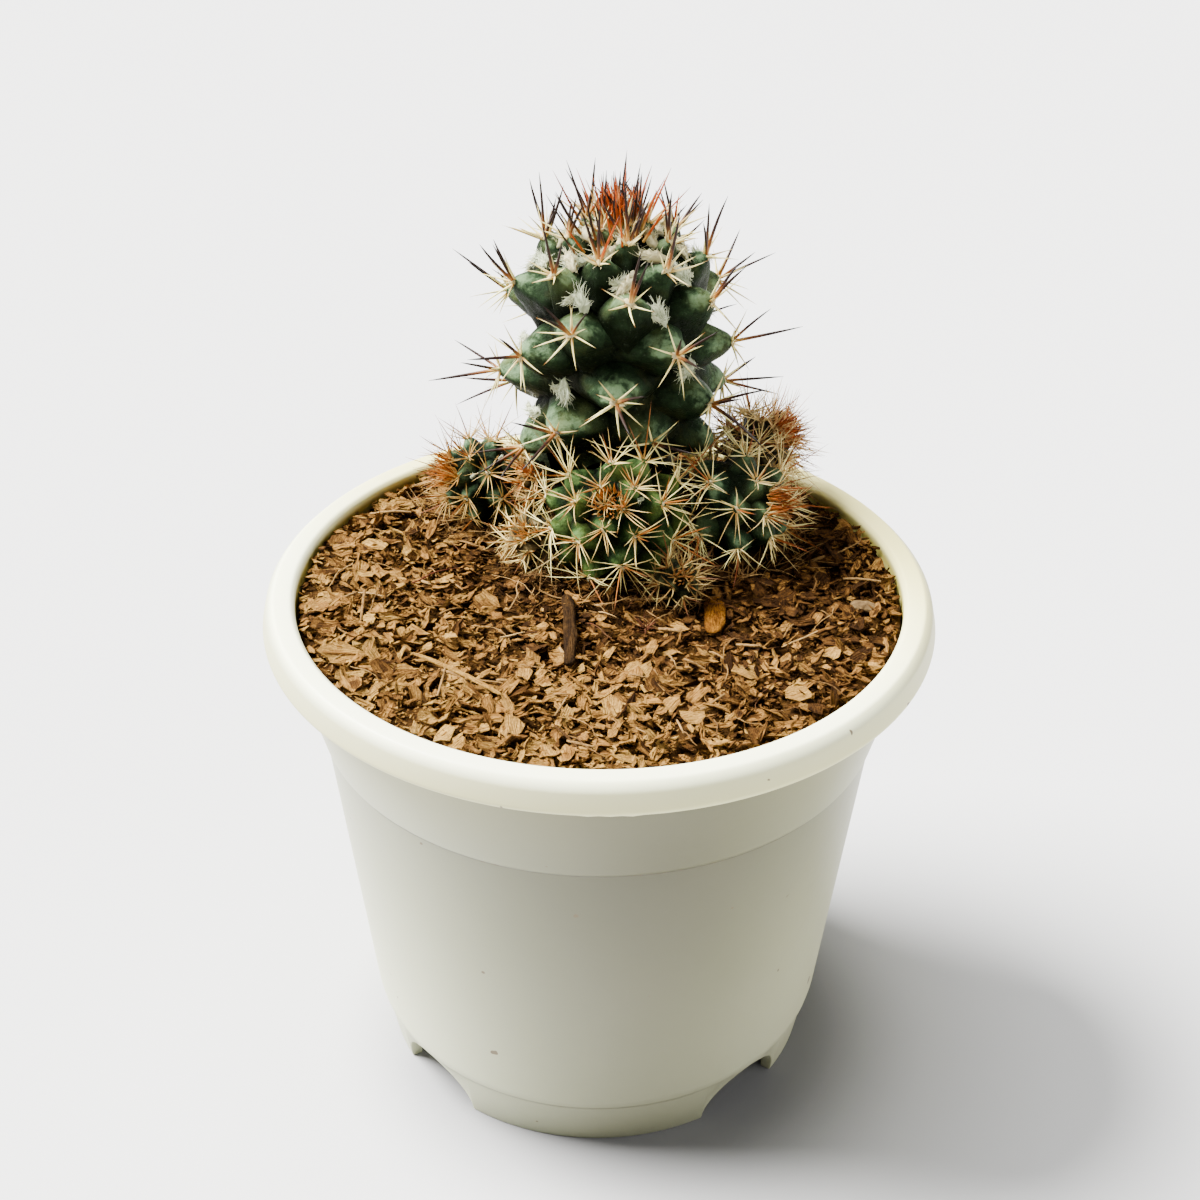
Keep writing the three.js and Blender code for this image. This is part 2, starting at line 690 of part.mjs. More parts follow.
function describePup(pup) {
  const small = pup.radius < 5;
  const coreRadius = pup.radius - pup.tubercle;
  const axis = vector(pup.lean).normalize();
  const origin = vector(pup.centre);
  return {
    ...pup,
    shoulders: !small,
    growth: PUP_GROWTH,
    axis,
    origin,
    tips: roundTips(pup.radius),
    coreRadius,
    rootPoint: origin.clone().addScaledVector(axis, -coreRadius),
    foot: pup.centre.slice(0, 2),
    footRadius: small ? 1.4 : 0.42 * coreRadius + 0.6,
    neckTop: pup.centre[2],
    radials: small ? 4 : 6,
    radialLength: 2.2 + 0.3 * pup.radius,
    centralLength: 3 + 0.45 * pup.radius,
    droop: 0.2,
  };
}

// Loose pieces on the soil

// Each lies on the soil along a line from one point to another; width and height are its section.
const LITTER = [
  { name: "twig", from: [-4.9, -4], to: [-4.3, -20.4], width: 1.9, height: 1.5, colour: COLOURS.twig },
  { name: "straw", from: [-26.5, -19], to: [-13.8, -28.8], width: 0.8, height: 0.7, colour: COLOURS.straw },
  { name: "bark_orange", from: [17.4, -4], to: [16.7, -10.8], width: 3.4, height: 1.1, colour: COLOURS.bark },
  { name: "pebble", from: [38.8, -4.2], to: [40.8, -5], width: 2.2, height: 1.8, colour: COLOURS.pebble },
];

function litterSolid(piece, lift) {
  const [from, to] = [piece.from, piece.to];
  const length = Math.hypot(to[0] - from[0], to[1] - from[1]);
  const rod = new THREE.CapsuleGeometry(0.5, Math.max(0.1, length / piece.width - 1), 2, 6);
  rod.scale(piece.width, piece.width, piece.height);
  rod.rotateZ(Math.atan2(to[1] - from[1], to[0] - from[0]) - Math.PI / 2);
  const [x, y] = [(from[0] + to[0]) / 2, (from[1] + to[1]) / 2];
  return solidOf(rod.translate(x, y, SOIL_LEVEL + soilRise(x, y) + piece.height / 2 + lift));
}

// Lowered onto the ground until the next step down would touch it
function settledSolid(piece, ground) {
  const step = 0.1;
  let lift = 3;
  while (lift > -2 && ground.intersect(litterSolid(piece, lift - GAP)).isEmpty()) lift -= step;
  return litterSolid(piece, lift);
}

// The whole object

const heads = [describeStem(), ...PUPS.map(describePup)];
const pot = potSolid();

const litterSpots = LITTER.flatMap(({ from, to, width }) => [from, to].map(([x, y]) => [x, y, width + 1]));
const headSpots = heads.map((head) => [...head.foot, head.centre ? 0.85 * head.radius : head.footRadius + 1]);
let soil = soilSolid([...litterSpots, ...headSpots]);
for (const head of heads) soil = soil.subtract(pegSolid(head, GAP, SOIL_LEVEL + 6));
const litter = LITTER.map((piece) => ({ ...piece, solid: settledSolid(piece, soil) }));

const grownSpines = [];
for (const head of heads) {
  const others = heads.filter((other) => other !== head);
  head.solid = headSolid(head, others, grownSpines).add(pegSolid(head, 0, head.neckTop));
}

const holder = new THREE.Group();
holder.add(meshOf("pot", pot, COLOURS.pot, 0.45), meshOf("soil", soil, COLOURS.soil, 0.95));

const plant = new THREE.Group();
for (const head of heads) {
  plant.add(meshOf(head.name, head.solid, head.centre ? COLOURS.pup : COLOURS.stem, 0.6));
}

const loose = new THREE.Group();
for (const piece of litter) loose.add(meshOf(piece.name, piece.solid, piece.colour, 0.9));

const pottedCactus = new THREE.Group();
pottedCactus.add(holder, plant, loose);

export default pottedCactus;
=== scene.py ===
"""The looks of a potted Mammillaria voburnensis: a clump of spiny heads in a white nursery pot.

Lengths are in millimetres, as in the CAD model, and become metres where a mesh is made. The heads, the pot and
the soil follow the same sizes and the same growth rule as the CAD solids that they replace.
"""
import math
from types import SimpleNamespace

import bmesh
import bpy
import numpy as np
from mathutils import Matrix, Vector, noise


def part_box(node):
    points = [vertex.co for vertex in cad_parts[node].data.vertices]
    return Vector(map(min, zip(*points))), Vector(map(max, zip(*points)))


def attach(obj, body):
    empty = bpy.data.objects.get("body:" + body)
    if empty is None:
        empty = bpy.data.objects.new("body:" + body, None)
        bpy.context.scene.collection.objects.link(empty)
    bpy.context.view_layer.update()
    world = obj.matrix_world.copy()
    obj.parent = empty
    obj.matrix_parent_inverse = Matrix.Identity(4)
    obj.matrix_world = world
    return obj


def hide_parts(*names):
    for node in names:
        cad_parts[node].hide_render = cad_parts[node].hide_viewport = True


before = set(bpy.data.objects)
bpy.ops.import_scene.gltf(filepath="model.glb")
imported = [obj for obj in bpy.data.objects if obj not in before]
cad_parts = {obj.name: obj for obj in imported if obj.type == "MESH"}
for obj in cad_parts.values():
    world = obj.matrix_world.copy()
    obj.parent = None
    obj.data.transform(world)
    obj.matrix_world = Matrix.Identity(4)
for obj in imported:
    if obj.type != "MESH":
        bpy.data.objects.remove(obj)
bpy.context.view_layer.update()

MM = 0.001
TAU = 2 * math.pi
SEED = 20417

# Pot
POT_HEIGHT = 83
RIM_RADIUS = 50
RIM_FLARE = 0.95
RIM_DEPTH = 4.7
RIM_ROUNDING = 1.2
LIP_RADIUS = 45.9
LIP_ROUNDING = 0.7
SKIRT_Z = POT_HEIGHT - RIM_DEPTH
SKIRT_WALL = 1.3
SKIRT_HOLLOW = 2.4
WALL = 1.3
COLLAR_TOP_Z = SKIRT_Z - 1.6
COLLAR_TOP_RADIUS = 47.3
COLLAR_FOOT_RADIUS = 43.4
COLLAR_FOOT_Z = 61.8
BODY_FOOT_RADIUS = 37.3
BODY_FOOT_Z = 10.6
STEP = 0.45
FOOT_RADIUS = 34.9
FOOT_HEIGHT = 8.4
FOOT_WALL = 1.7
FOOT_CREASE = 0.4
FLOOR_THICKNESS = 1.5
FLOOR_TOP = FOOT_HEIGHT + FLOOR_THICKNESS
CORNER_ROUNDING = 0.32
NOTCH_COUNT = 4
NOTCH_TURN = math.radians(42.6)
NOTCH_HALF_WIDTH = 8
NOTCH_HEIGHT = 8.1
DRAIN_RADIUS = 4
DRAIN_RING = 21
PAINTED_SHADE_TURN = 0.2  # where painted shade darkens the pot's wall the most, from the front towards +X

# Soil
GAP = 0.3
SOIL_LEVEL = 80.9
SOIL_EDGE = LIP_RADIUS - GAP
MOUND_HEIGHT = 1
MOUND_SPREAD = 24
MOUND_CENTRE = (2.2, 18.4)
LUMP_HEIGHT = 0.3
LUMP_WAVE = 1.8
CHIP_COUNT = 3400
SCRAP_COUNT = 6000
BIT_COUNT = 7400
ROOT_COUNT = 120
STALK_COUNT = 34
SHED_SPINES = 22  # per millimetre of a head's radius
CLUSTER = (6.8, -10.7)  # one shed cluster of spines lies in front of the heads
CLUSTER_SPINES = 16

# The largest bark flakes: x, y and length
FLAKES = [(-37.3, -19.2, 7), (5.9, -21.8, 6), (20.9, -21.6, 6), (-27, -12, 5), (-20, -24, 5.5), (2, -31, 6),
          (-12, -36, 5), (13, -33, 5), (28, -28, 5), (-33, -6, 4.5), (-24, 1, 4), (34, -17, 4.5), (-8, -25, 5)]

# Heads
DIVERGENCE = math.radians(137.9)
YOUNG_LENGTH = 0.35
TIP_LIFT = 0.12
STEM_FADE = 15
STEM_TOP = 131.2
HEAD_FLOOR = SOIL_LEVEL + MOUND_HEIGHT + 2 * LUMP_HEIGHT + GAP
SKIN_FLOOR = SOIL_LEVEL + 0.3
WOOL_FLOOR = SOIL_LEVEL + 0.5
CORE_SKIN = 0.25
PRESS_REACH = 0.9
ARCH = 0.03  # how far a tubercle's middle bows upwards, of its size
SPINE_REACH = RIM_RADIUS + RIM_FLARE - 0.3
SPINE_TOP = 139.4
STEM_TIPS = [
    (STEM_TOP, 0), (130.7, 3.2), (129.2, 7.6), (126.4, 12.4), (122.6, 15.9), (118, 17.7),
    (110, 18.3), (101, 18.2), (96, 16.6), (91, 14.6), (86, 12.6), (82.8, 11.4),
]
# Each offset's radius, tubercle length, widest cell, first turn, centre and lean
PUPS = {
    "pup_front": (11.3, 3.6, 55, 5.2, (2.4, 8.2, 89.8), (-0.1, -0.77, 0.63)),
    "pup_right": (9.2, 3.1, 59, 0.17, (20.6, 12.9, 89.2), (0.74, -0.56, 0.38)),
    "pup_left": (7.3, 2.6, 31.7, 0.77, (-18.3, 22.3, 88.2), (-0.84, -0.37, 0.39)),
    "pup_back_right": (6.2, 2.1, 17, 3, (25, 28.6, 90.6), (0.72, -0.2, 0.66)),
    "pup_small_left": (3.4, 1.3, 10.4, 0, (-9.9, 17.6, 91), (-0.3, -0.6, 0.74)),
    "pup_small_front": (4.2, 1.5, 15.9, 1, (-10.2, 7.6, 86), (-0.35, -0.7, 0.62)),
    "pup_small_right": (3.6, 1.3, 11.7, 2, (11.6, -2.4, 84.8), (0.2, -0.75, 0.63)),
}

# Looks of a head: its tubercles' meshes and shape, its spines, its wool, and the brush and fan of its crown
STEM = dict(around=28, rings=16, taper=0.3, blunt=0.14, keel=0.55, flat=0.84,
            radials=8, reach=0.88, radial_thick=0.18, centrals=2, long=1, central_thick=0.28,
            central_kind=1.0, rust=0.9, fade=4, stray=0.08, felt=16, pad=0.85, wool=0.95, tuft=130,
            tuft_length=1.55, crown=95, crown_width=2.8, crown_length=6.6, fan=32)
PUP = dict(around=24, rings=13, taper=0.315, blunt=0.125, keel=0.6, flat=0.88,
           radials=15, reach=1.25, radial_thick=0.095, centrals=1, long=1.25, central_thick=0.13,
           central_kind=0.72, rust=1.0, fade=1.5, stray=0.2, felt=8, pad=0.5, wool=0.14, tuft=30,
           tuft_length=0.5, crown=80, crown_width=2.4, crown_length=3.6, fan=0)
DENSE = dict(PUP, radials=19, centrals=2, radial_thick=0.11, reach=1.6, crown=90)
TINY = dict(PUP, around=12, rings=8, radials=9, reach=1.35, radial_thick=0.115, felt=4, pad=0.4, wool=0.0,
            crown=20, crown_width=1.5, crown_length=2.6)
DRESSES = {  # each head's skin, spines and looks
    "stem_main": ("stem_skin", "spines", STEM),
    "pup_front": ("offset_skin", "orange_spines", PUP),
    "pup_right": ("cool_skin", "red_spines", PUP),
    "pup_left": ("cool_skin", "amber_spines", PUP),
    "pup_back_right": ("brown_skin", "dry_spines", DENSE),
    "pup_small_left": ("brown_skin", "rusty_spines", TINY),
    "pup_small_front": ("brown_skin", "gold_spines", TINY),
    # the smallest right offset sits in shadow; its darker skin and spines are painted shade
    "pup_small_right": ("painted_shade_skin", "shaded_spines", dict(TINY, radials=7, reach=1.2)),
}
SKINS = dict(  # colours of a tubercle's axil, flank and tip, and of its blotches; the dark axil colour is painted shade
    stem_skin=((0.0011, 0.0026, 0.0008), (0.011, 0.023, 0.0095), (0.098, 0.156, 0.078), (0.088, 0.102, 0.03)),
    offset_skin=((0.0005, 0.0012, 0.0005), (0.0085, 0.022, 0.005), (0.058, 0.105, 0.03), (0.09, 0.12, 0.016)),
    cool_skin=((0.001, 0.0024, 0.0009), (0.0095, 0.022, 0.0098), (0.078, 0.13, 0.066), (0.068, 0.086, 0.026)),
    brown_skin=((0.01, 0.007, 0.003), (0.07, 0.054, 0.024), (0.19, 0.145, 0.066), (0.19, 0.13, 0.05)),
    # the smallest right offset's skin is darkened as painted shade
    painted_shade_skin=((0.0015, 0.0015, 0.0006), (0.01, 0.011, 0.004), (0.04, 0.042, 0.016), (0.05, 0.04, 0.014)),
)
SPINES = dict(  # colours of a radial spine's root, middle and point, and of the young ones' rust
    spines=((0.6, 0.37, 0.1), (0.82, 0.76, 0.32), (0.32, 0.13, 0.03), (0.46, 0.072, 0.002)),
    orange_spines=((0.56, 0.34, 0.09), (0.82, 0.74, 0.3), (0.34, 0.14, 0.03), (0.38, 0.12, 0.012)),
    amber_spines=((0.42, 0.23, 0.05), (0.54, 0.38, 0.12), (0.3, 0.11, 0.02), (0.34, 0.1, 0.009)),
    red_spines=((0.58, 0.36, 0.1), (0.8, 0.73, 0.31), (0.32, 0.11, 0.02), (0.34, 0.085, 0.008)),
    rusty_spines=((0.54, 0.33, 0.1), (0.72, 0.5, 0.17), (0.3, 0.1, 0.016), (0.4, 0.11, 0.01)),
    gold_spines=((0.54, 0.34, 0.1), (0.8, 0.66, 0.25), (0.28, 0.12, 0.03), (0.34, 0.13, 0.018)),
    dry_spines=((0.62, 0.42, 0.17), (0.84, 0.66, 0.28), (0.42, 0.17, 0.05), (0.42, 0.09, 0.014)),
    shaded_spines=((0.34, 0.22, 0.07), (0.46, 0.34, 0.12), (0.16, 0.08, 0.02), (0.2, 0.07, 0.01)),
)


def unit(v):
    v = np.asarray(v, float)
    return v / np.maximum(np.linalg.norm(v, axis=-1, keepdims=True), 1e-12)


def smooth_step(low, high, x):
    t = np.clip((np.asarray(x, float) - low) / (high - low), 0, 1)
    return t * t * (3 - 2 * t)


def noise_at(points, scale, seed=0):
    """Smooth noise in -1..1 at each point, with lumps about scale millimetres wide."""
    shift = Vector((seed * 17.3, seed * 5.1, seed * 9.7))
    return np.array([noise.noise(Vector(p) / scale + shift) for p in points])


def rotate(points, angles, axis):
    """Points (N, K, 3) turned about one axis by an angle for each N."""
    a, b = [(1, 2), (2, 0), (0, 1)][axis]
    c, s = np.cos(angles)[:, None], np.sin(angles)[:, None]
    out = points.copy()
    out[:, :, a] = c * points[:, :, a] - s * points[:, :, b]
    out[:, :, b] = s * points[:, :, a] + c * points[:, :, b]
    return out


def circle_turns(count):
    return np.arange(count) / count * TAU


def bent(starts, ways, lengths, bends, steps):
    """Paths that leave straight along their way and bend aside more and more."""
    t = np.linspace(0, 1, steps)[:, None]
    return starts[:, None] + lengths[:, None, None] * (ways[:, None] * t + bends[:, None] * t**2)


def tinted(*parts):
    """Tints of three numbers a point, from numbers and arrays of one shape."""
    return np.stack(np.broadcast_arrays(*parts), -1)


def placed(name, data):
    """A new object in the scene."""
    piece = bpy.data.objects.new(name, data)
    bpy.context.scene.collection.objects.link(piece)
    return piece


class Skin:
    """Points, faces and a tint of three numbers a point, gathered for one mesh."""

    def __init__(self):
        self.points, self.tints, self.quads, self.triangles, self.count = [], [], [], [], 0

    def add(self, points, tint, quads=None, triangles=None):
        points = np.asarray(points, float).reshape(-1, 3)
        self.points.append(points)
        self.tints.append(np.broadcast_to(np.asarray(tint, float).reshape(-1, 3), points.shape))
        for faces, kept in ((quads, self.quads), (triangles, self.triangles)):
            if faces is not None:
                kept.append(np.asarray(faces, int) + self.count)
        self.count += len(points)

    def object(self, name, material, slot, node):
        """The piece, riding with the pot in place of a CAD node."""
        points = np.concatenate(self.points) * MM
        faces = [list(f) for block in self.quads + self.triangles for f in block.tolist()]
        mesh = bpy.data.meshes.new(name)
        mesh.from_pydata(points.tolist(), [], faces)
        tint = mesh.attributes.new("Tint", "FLOAT_COLOR", "POINT")
        rgba = np.ones((len(points), 4), np.float32)
        rgba[:, :3] = np.concatenate(self.tints)
        tint.data.foreach_set("color", rgba.ravel())
        mesh.materials.append(material)
        mesh.validate()
        mesh.shade_smooth()
        piece = placed(name, mesh)
        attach(piece, "root")
        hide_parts(node)
        return piece


def grid_faces(rows, columns):
    """Quads of rows of points, with the last column joined to the first."""
    r, c = np.meshgrid(np.arange(rows - 1), np.arange(columns), indexing="ij")
    r, c = r.ravel(), c.ravel()
    n = (c + 1) % columns
    return np.stack([r * columns + c, r * columns + n, (r + 1) * columns + n, (r + 1) * columns + c], 1)


def add_tubes(skin, paths, radii, sides, tints):
    """Tapered tubes along many paths at once: paths (N, K, 3), radii (N, K) and tints for the paths' points."""
    count, steps, _ = paths.shape
    along = unit(np.gradient(paths, axis=1))
    helper = np.where(np.abs(along[:, :1, 2:]) > 0.8, [[[1.0, 0, 0]]], [[[0, 0, 1.0]]])
    across = unit(np.cross(along, helper))
    other = np.cross(along, across)
    turn = circle_turns(sides)
    ring = across[:, :, None] * np.cos(turn)[:, None] + other[:, :, None] * np.sin(turn)[:, None]
    points = paths[:, :, None] + ring * radii[:, :, None, None]
    tint = np.broadcast_to(np.broadcast_to(tints, paths.shape)[:, :, None], points.shape)
    faces = grid_faces(steps, sides)
    quads = (faces[None] + (np.arange(count) * steps * sides)[:, None, None]).reshape(-1, 4)
    ends = (np.arange(count) * steps + steps - 1)[:, None] * sides
    caps = [ends + np.array([0, k, k + 1]) for k in range(1, sides - 1)]
    skin.add(points, tint, quads, np.concatenate(caps))


# Materials


class Look:
    """The nodes of a material or a world; each method adds to them and returns the socket to go on from."""

    def __init__(self, name, kind=bpy.data.materials):
        self.owner = kind.new(name)
        self.owner.use_nodes = True
        self.nodes, self.links = self.owner.node_tree.nodes, self.owner.node_tree.links

    def fill(self, node, values):
        """Set or link a node's inputs; colours are given as three numbers."""
        for key, value in values.items():
            socket = node.inputs[key]
            if isinstance(value, bpy.types.NodeSocket):
                self.links.new(value, socket)
            else:
                socket.default_value = (*value, 1) if socket.type == "RGBA" else value

    def node(self, kind, values, output=0, **settings):
        node = self.nodes.new("ShaderNode" + kind)
        for name, value in settings.items():
            setattr(node, name, value)
        self.fill(node, values)
        return node.outputs[output]

    def math(self, kind, *values, clamp=False):
        return self.node("Math", dict(enumerate(values)), operation=kind, use_clamp=clamp)

    def mix(self, factor, a, b, kind="MIX"):
        return self.node("Mix", {0: factor, 6: a, 7: b}, 2, data_type="RGBA", blend_type=kind)

    def noise(self, scale, detail=4, roughness=0.55):
        """Noise in object space; scale is in lumps per metre."""
        where = self.nodes.new("ShaderNodeTexCoord").outputs["Object"]
        values = {"Scale": scale, "Detail": detail, "Roughness": roughness, "Vector": where}
        return self.node("TexNoise", values)

    def ramp(self, value, *stops):
        """Colours along a value; a single number stands for a grey."""
        socket = self.node("ValToRGB", {"Fac": value})
        elements = socket.node.color_ramp.elements
        for _ in stops[2:]:
            elements.new(0.5)
        for element, (position, colour) in zip(elements, stops):
            element.position = position
            element.color = (*colour, 1) if isinstance(colour, tuple) else (colour, colour, colour, 1)
        return socket

    def tint(self):
        """The three numbers that each point of a skin carries."""
        colour = self.node("Attribute", {}, attribute_name="Tint")
        return self.node("SeparateColor", {"Color": colour}).node.outputs

    def bump(self, height, distance, strength=1.0):
        return self.node("Bump", {"Distance": distance * MM, "Strength": strength, "Height": height})

    def shaded(self, values):
        """The material, with its shader's inputs set or linked."""
        self.fill(self.nodes["Principled BSDF"], values)
        return self.owner


def pot_material():
    """White plastic. Tint: red is dirt, with painted shade along the two ledges; green is yellowing, with
    painted shade on the rim's lip and side; blue is how far the dark filling shows through, with painted shade
    and painted light round the wall and painted shade on the rim's side.
    """
    look = Look("white_plastic")
    dirt_and_shade, yellowing_and_shade, filling_and_shade = look.tint()
    broad = look.noise(22, 2)
    colour = look.ramp(broad, (0.3, (0.91, 0.95, 0.63)), (0.7, (0.95, 0.98, 0.71)))
    # yellowing, with painted shade on the rim's lip and side
    colour = look.mix(yellowing_and_shade, colour, (0.66, 0.55, 0.08))
    thin = look.ramp(broad, (0.3, (0.09, 0.088, 0.05)), (0.7, (0.102, 0.097, 0.055)))
    # the dark filling seen through the wall, which also carries painted shade and light round the wall and on
    # the rim's side
    colour = look.mix(filling_and_shade, colour, thin)
    # dirt, and the painted shade along the two ledges
    colour = look.mix(look.ramp(dirt_and_shade, (0.0, 0), (0.32, 0.6)), colour, (0.04, 0.036, 0.022))
    spots = look.ramp(look.math("ADD", look.noise(900, 3, 0.7), dirt_and_shade), (0.92, 0), (1.0, 1))
    colour = look.mix(spots, colour, (0.1, 0.06, 0.025))
    specks = look.ramp(look.noise(420, 1), (0.77, 0), (0.79, 1))
    return look.shaded({
        "Base Color": look.mix(specks, colour, (0.12, 0.09, 0.05)), "Roughness": 0.4,
        "Specular IOR Level": 0.25, "Subsurface Weight": 0.15, "Subsurface Radius": (0.006, 0.006, 0.004),
        "Subsurface Scale": 0.5, "Normal": look.bump(look.noise(260, 3), 0.12, 0.3)})


def skin_material(name, axil, flank, tip, blotches):
    """Plant skin. Tint: red runs up a tubercle and carries painted shade, darkest in the axils, on the core and
    under the tubercles; green is its own shade, blue is its age.
    """
    look = Look(name)
    climb_and_shade, own, age = look.tint()
    mottle = look.noise(480, 6, 0.65)
    shade = look.math("MULTIPLY", climb_and_shade, look.math("MULTIPLY_ADD", own, 0.4, 0.84))
    shade = look.math("MULTIPLY", shade, look.math("MULTIPLY_ADD", mottle, 3.2, -0.66), clamp=True)
    # painted shade: the dark axil colour lies on the tubercles' roots, their undersides and the core between
    # them, and the colour lightens up to the tips
    colour = look.ramp(shade, (0.12, axil), (0.5, flank), (0.95, tip))
    blotch = look.ramp(look.noise(150, 3, 0.6), (0.48, 0), (0.72, 0.8))
    colour = look.mix(look.math("MULTIPLY", blotch, climb_and_shade), colour, blotches)
    # corky scars low on the old tubercles, and pale dots all over
    old = look.math("MULTIPLY", look.math("SUBTRACT", 1.0, climb_and_shade), age)
    cork = look.ramp(look.math("MULTIPLY", old, look.noise(230, 4, 0.7)), (0.44, 0), (0.56, 0.6))
    colour = look.mix(cork, colour, (0.012, 0.013, 0.004))
    dots = look.ramp(look.noise(2600, 1), (0.68, 0), (0.76, 0.3))
    return look.shaded({
        "Base Color": look.mix(dots, colour, (0.07, 0.09, 0.06)), "Specular IOR Level": 0.05,
        "Specular Tint": (0.7, 0.85, 0.5), "Roughness": look.ramp(mottle, (0.35, 0.42), (0.7, 0.6)),
        "Normal": look.bump(look.noise(800, 6, 0.7), 0.55)})


def spine_material(name, root, middle, point, rust):
    """Spines. Tint: red runs from root to point, green is the kind (0 radial, 0.5 rust-coloured and young,
    1 central), and blue is each one's own shade."""
    look = Look(name)
    along, kind, own = look.tint()
    shift = look.math("SUBTRACT", look.math("MULTIPLY", own, 0.24), 0.14)
    along = look.math("ADD", along, shift, clamp=True)
    red, dark = (0.24, 0.088, 0.02), (0.022, 0.008, 0.005)
    radial = look.ramp(along, (0.0, root), (0.2, middle), (0.78, middle), (1.0, point))
    young = look.ramp(along, (0.0, root), (0.18, rust), (0.75, rust), (1.0, dark))
    central = look.ramp(along, (0.0, root), (0.12, red), (0.38, dark), (1.0, (0.008, 0.005, 0.004)))
    double = look.math("MULTIPLY", kind, 2.0)
    first = look.math("MULTIPLY", kind, 2.0, clamp=True)
    second = look.math("SUBTRACT", double, 1.0, clamp=True)
    colour = look.mix(second, look.mix(first, radial, young), central)
    own = look.ramp(own, (0.0, (0.42, 0.34, 0.26)), (0.45, (0.92, 0.9, 0.86)), (1.0, 1))
    colour = look.mix(1.0, colour, own, "MULTIPLY")
    streak = look.ramp(look.noise(1500, 2), (0.3, 0.7), (0.7, 1))
    return look.shaded({"Base Color": look.mix(0.3, colour, streak, "MULTIPLY"), "Roughness": 0.45,
                        "Specular IOR Level": 0.15})


def wool_material():
    """Wool. Tint: red runs from its shaded depth to the hairs' ends, green is how far it is stained."""
    look = Look("white_wool")
    along, felted, _ = look.tint()
    colour = look.ramp(along, (0.0, (0.13, 0.14, 0.075)), (0.5, (0.36, 0.4, 0.25)), (1.0, (0.62, 0.66, 0.46)))
    return look.shaded({"Base Color": look.mix(felted, colour, (0.5, 0.36, 0.15)), "Roughness": 0.9,
                        "Subsurface Weight": 0.2, "Subsurface Radius": (0.001, 0.001, 0.001)})


def bark_material(name, *stops):
    """Bark and soil. Tint: red is the piece's own shade, green and blue place a point for its grain."""
    look = Look(name)
    own, across, along = look.tint()
    shade = look.math("MULTIPLY_ADD", look.noise(700, 6, 0.68), 0.6, -0.3)
    colour = look.ramp(look.math("ADD", shade, own, clamp=True), *stops)
    across, along = look.math("MULTIPLY", across, 60.0), look.math("MULTIPLY", along, 9.0)
    place = look.node("CombineXYZ", {0: across, 1: along})
    fibre = look.node("TexNoise", {"Scale": 1, "Detail": 3, "Vector": place})
    lines = look.ramp(fibre, (0.38, (0.3, 0.25, 0.19)), (0.56, 1))
    colour = look.mix(0.8, colour, lines, "MULTIPLY")
    fine = look.ramp(look.noise(3200, 2), (0.35, 0.5), (0.65, 1))
    height = look.math("ADD", look.noise(1300, 6, 0.72), fibre)
    return look.shaded({"Base Color": look.mix(0.75, colour, fine, "MULTIPLY"), "Roughness": 0.85,
                        "Specular IOR Level": 0.05, "Normal": look.bump(height, 0.45)})


def stone_material():
    look = Look("pebble_stone")
    grain = look.noise(900, 5, 0.7)
    colour = look.ramp(
        grain, (0.35, (0.04, 0.022, 0.008)), (0.5, (0.095, 0.058, 0.022)), (0.68, (0.17, 0.112, 0.048)))
    return look.shaded({"Base Color": colour, "Roughness": 0.8, "Specular IOR Level": 0.1,
                        "Normal": look.bump(look.noise(2200, 4, 0.7), 0.2, 0.8)})


# Pot


def rounded(profile, radius, steps=4):
    """A closed profile with its corners rounded; each corner takes at most the given radius."""
    profile = np.asarray(profile, float)
    count = len(profile)
    out = []
    for i, corner in enumerate(profile):
        before, after = profile[i - 1], profile[(i + 1) % count]
        reach = min(radius, 0.45 * np.linalg.norm(before - corner), 0.45 * np.linalg.norm(after - corner))
        a = corner + unit(before - corner) * reach
        b = corner + unit(after - corner) * reach
        for t in np.linspace(0, 1, steps):
            out.append((1 - t) ** 2 * a + 2 * t * (1 - t) * corner + t * t * b)
    return np.array(out)


def pot_profile():
    """Radius and height, counter-clockwise from the foot ring's inner edge."""
    skirt = RIM_RADIUS + RIM_FLARE
    return [
        (FOOT_RADIUS - FOOT_WALL, 0), (FOOT_RADIUS, 0),
        (BODY_FOOT_RADIUS - FOOT_CREASE - STEP, FOOT_HEIGHT),
        (BODY_FOOT_RADIUS - FOOT_CREASE, FOOT_HEIGHT + STEP),
        (BODY_FOOT_RADIUS, BODY_FOOT_Z), (COLLAR_FOOT_RADIUS - STEP, COLLAR_FOOT_Z - STEP),
        (COLLAR_FOOT_RADIUS, COLLAR_FOOT_Z), (COLLAR_TOP_RADIUS, COLLAR_TOP_Z),
        (COLLAR_TOP_RADIUS + 0.3, SKIRT_Z + SKIRT_HOLLOW), (skirt - SKIRT_WALL - 0.2, SKIRT_Z + SKIRT_HOLLOW),
        (skirt - SKIRT_WALL, SKIRT_Z), (skirt - 0.2, SKIRT_Z), (skirt, SKIRT_Z + 0.6),
        (RIM_RADIUS + 0.3, POT_HEIGHT - RIM_ROUNDING), (RIM_RADIUS + 0.3 - RIM_ROUNDING, POT_HEIGHT),
        (LIP_RADIUS + LIP_ROUNDING, POT_HEIGHT), (LIP_RADIUS, POT_HEIGHT - LIP_ROUNDING),
        (LIP_RADIUS + 0.1, POT_HEIGHT - 2), (COLLAR_TOP_RADIUS - WALL, COLLAR_TOP_Z),
        (COLLAR_FOOT_RADIUS - STEP - WALL, COLLAR_FOOT_Z), (BODY_FOOT_RADIUS - WALL, FLOOR_TOP + WALL),
        (BODY_FOOT_RADIUS - 1.5 * WALL, FLOOR_TOP), (DRAIN_RADIUS, FLOOR_TOP), (DRAIN_RADIUS, FOOT_HEIGHT),
        (FOOT_RADIUS - FOOT_WALL + STEP, FOOT_HEIGHT),
    ]


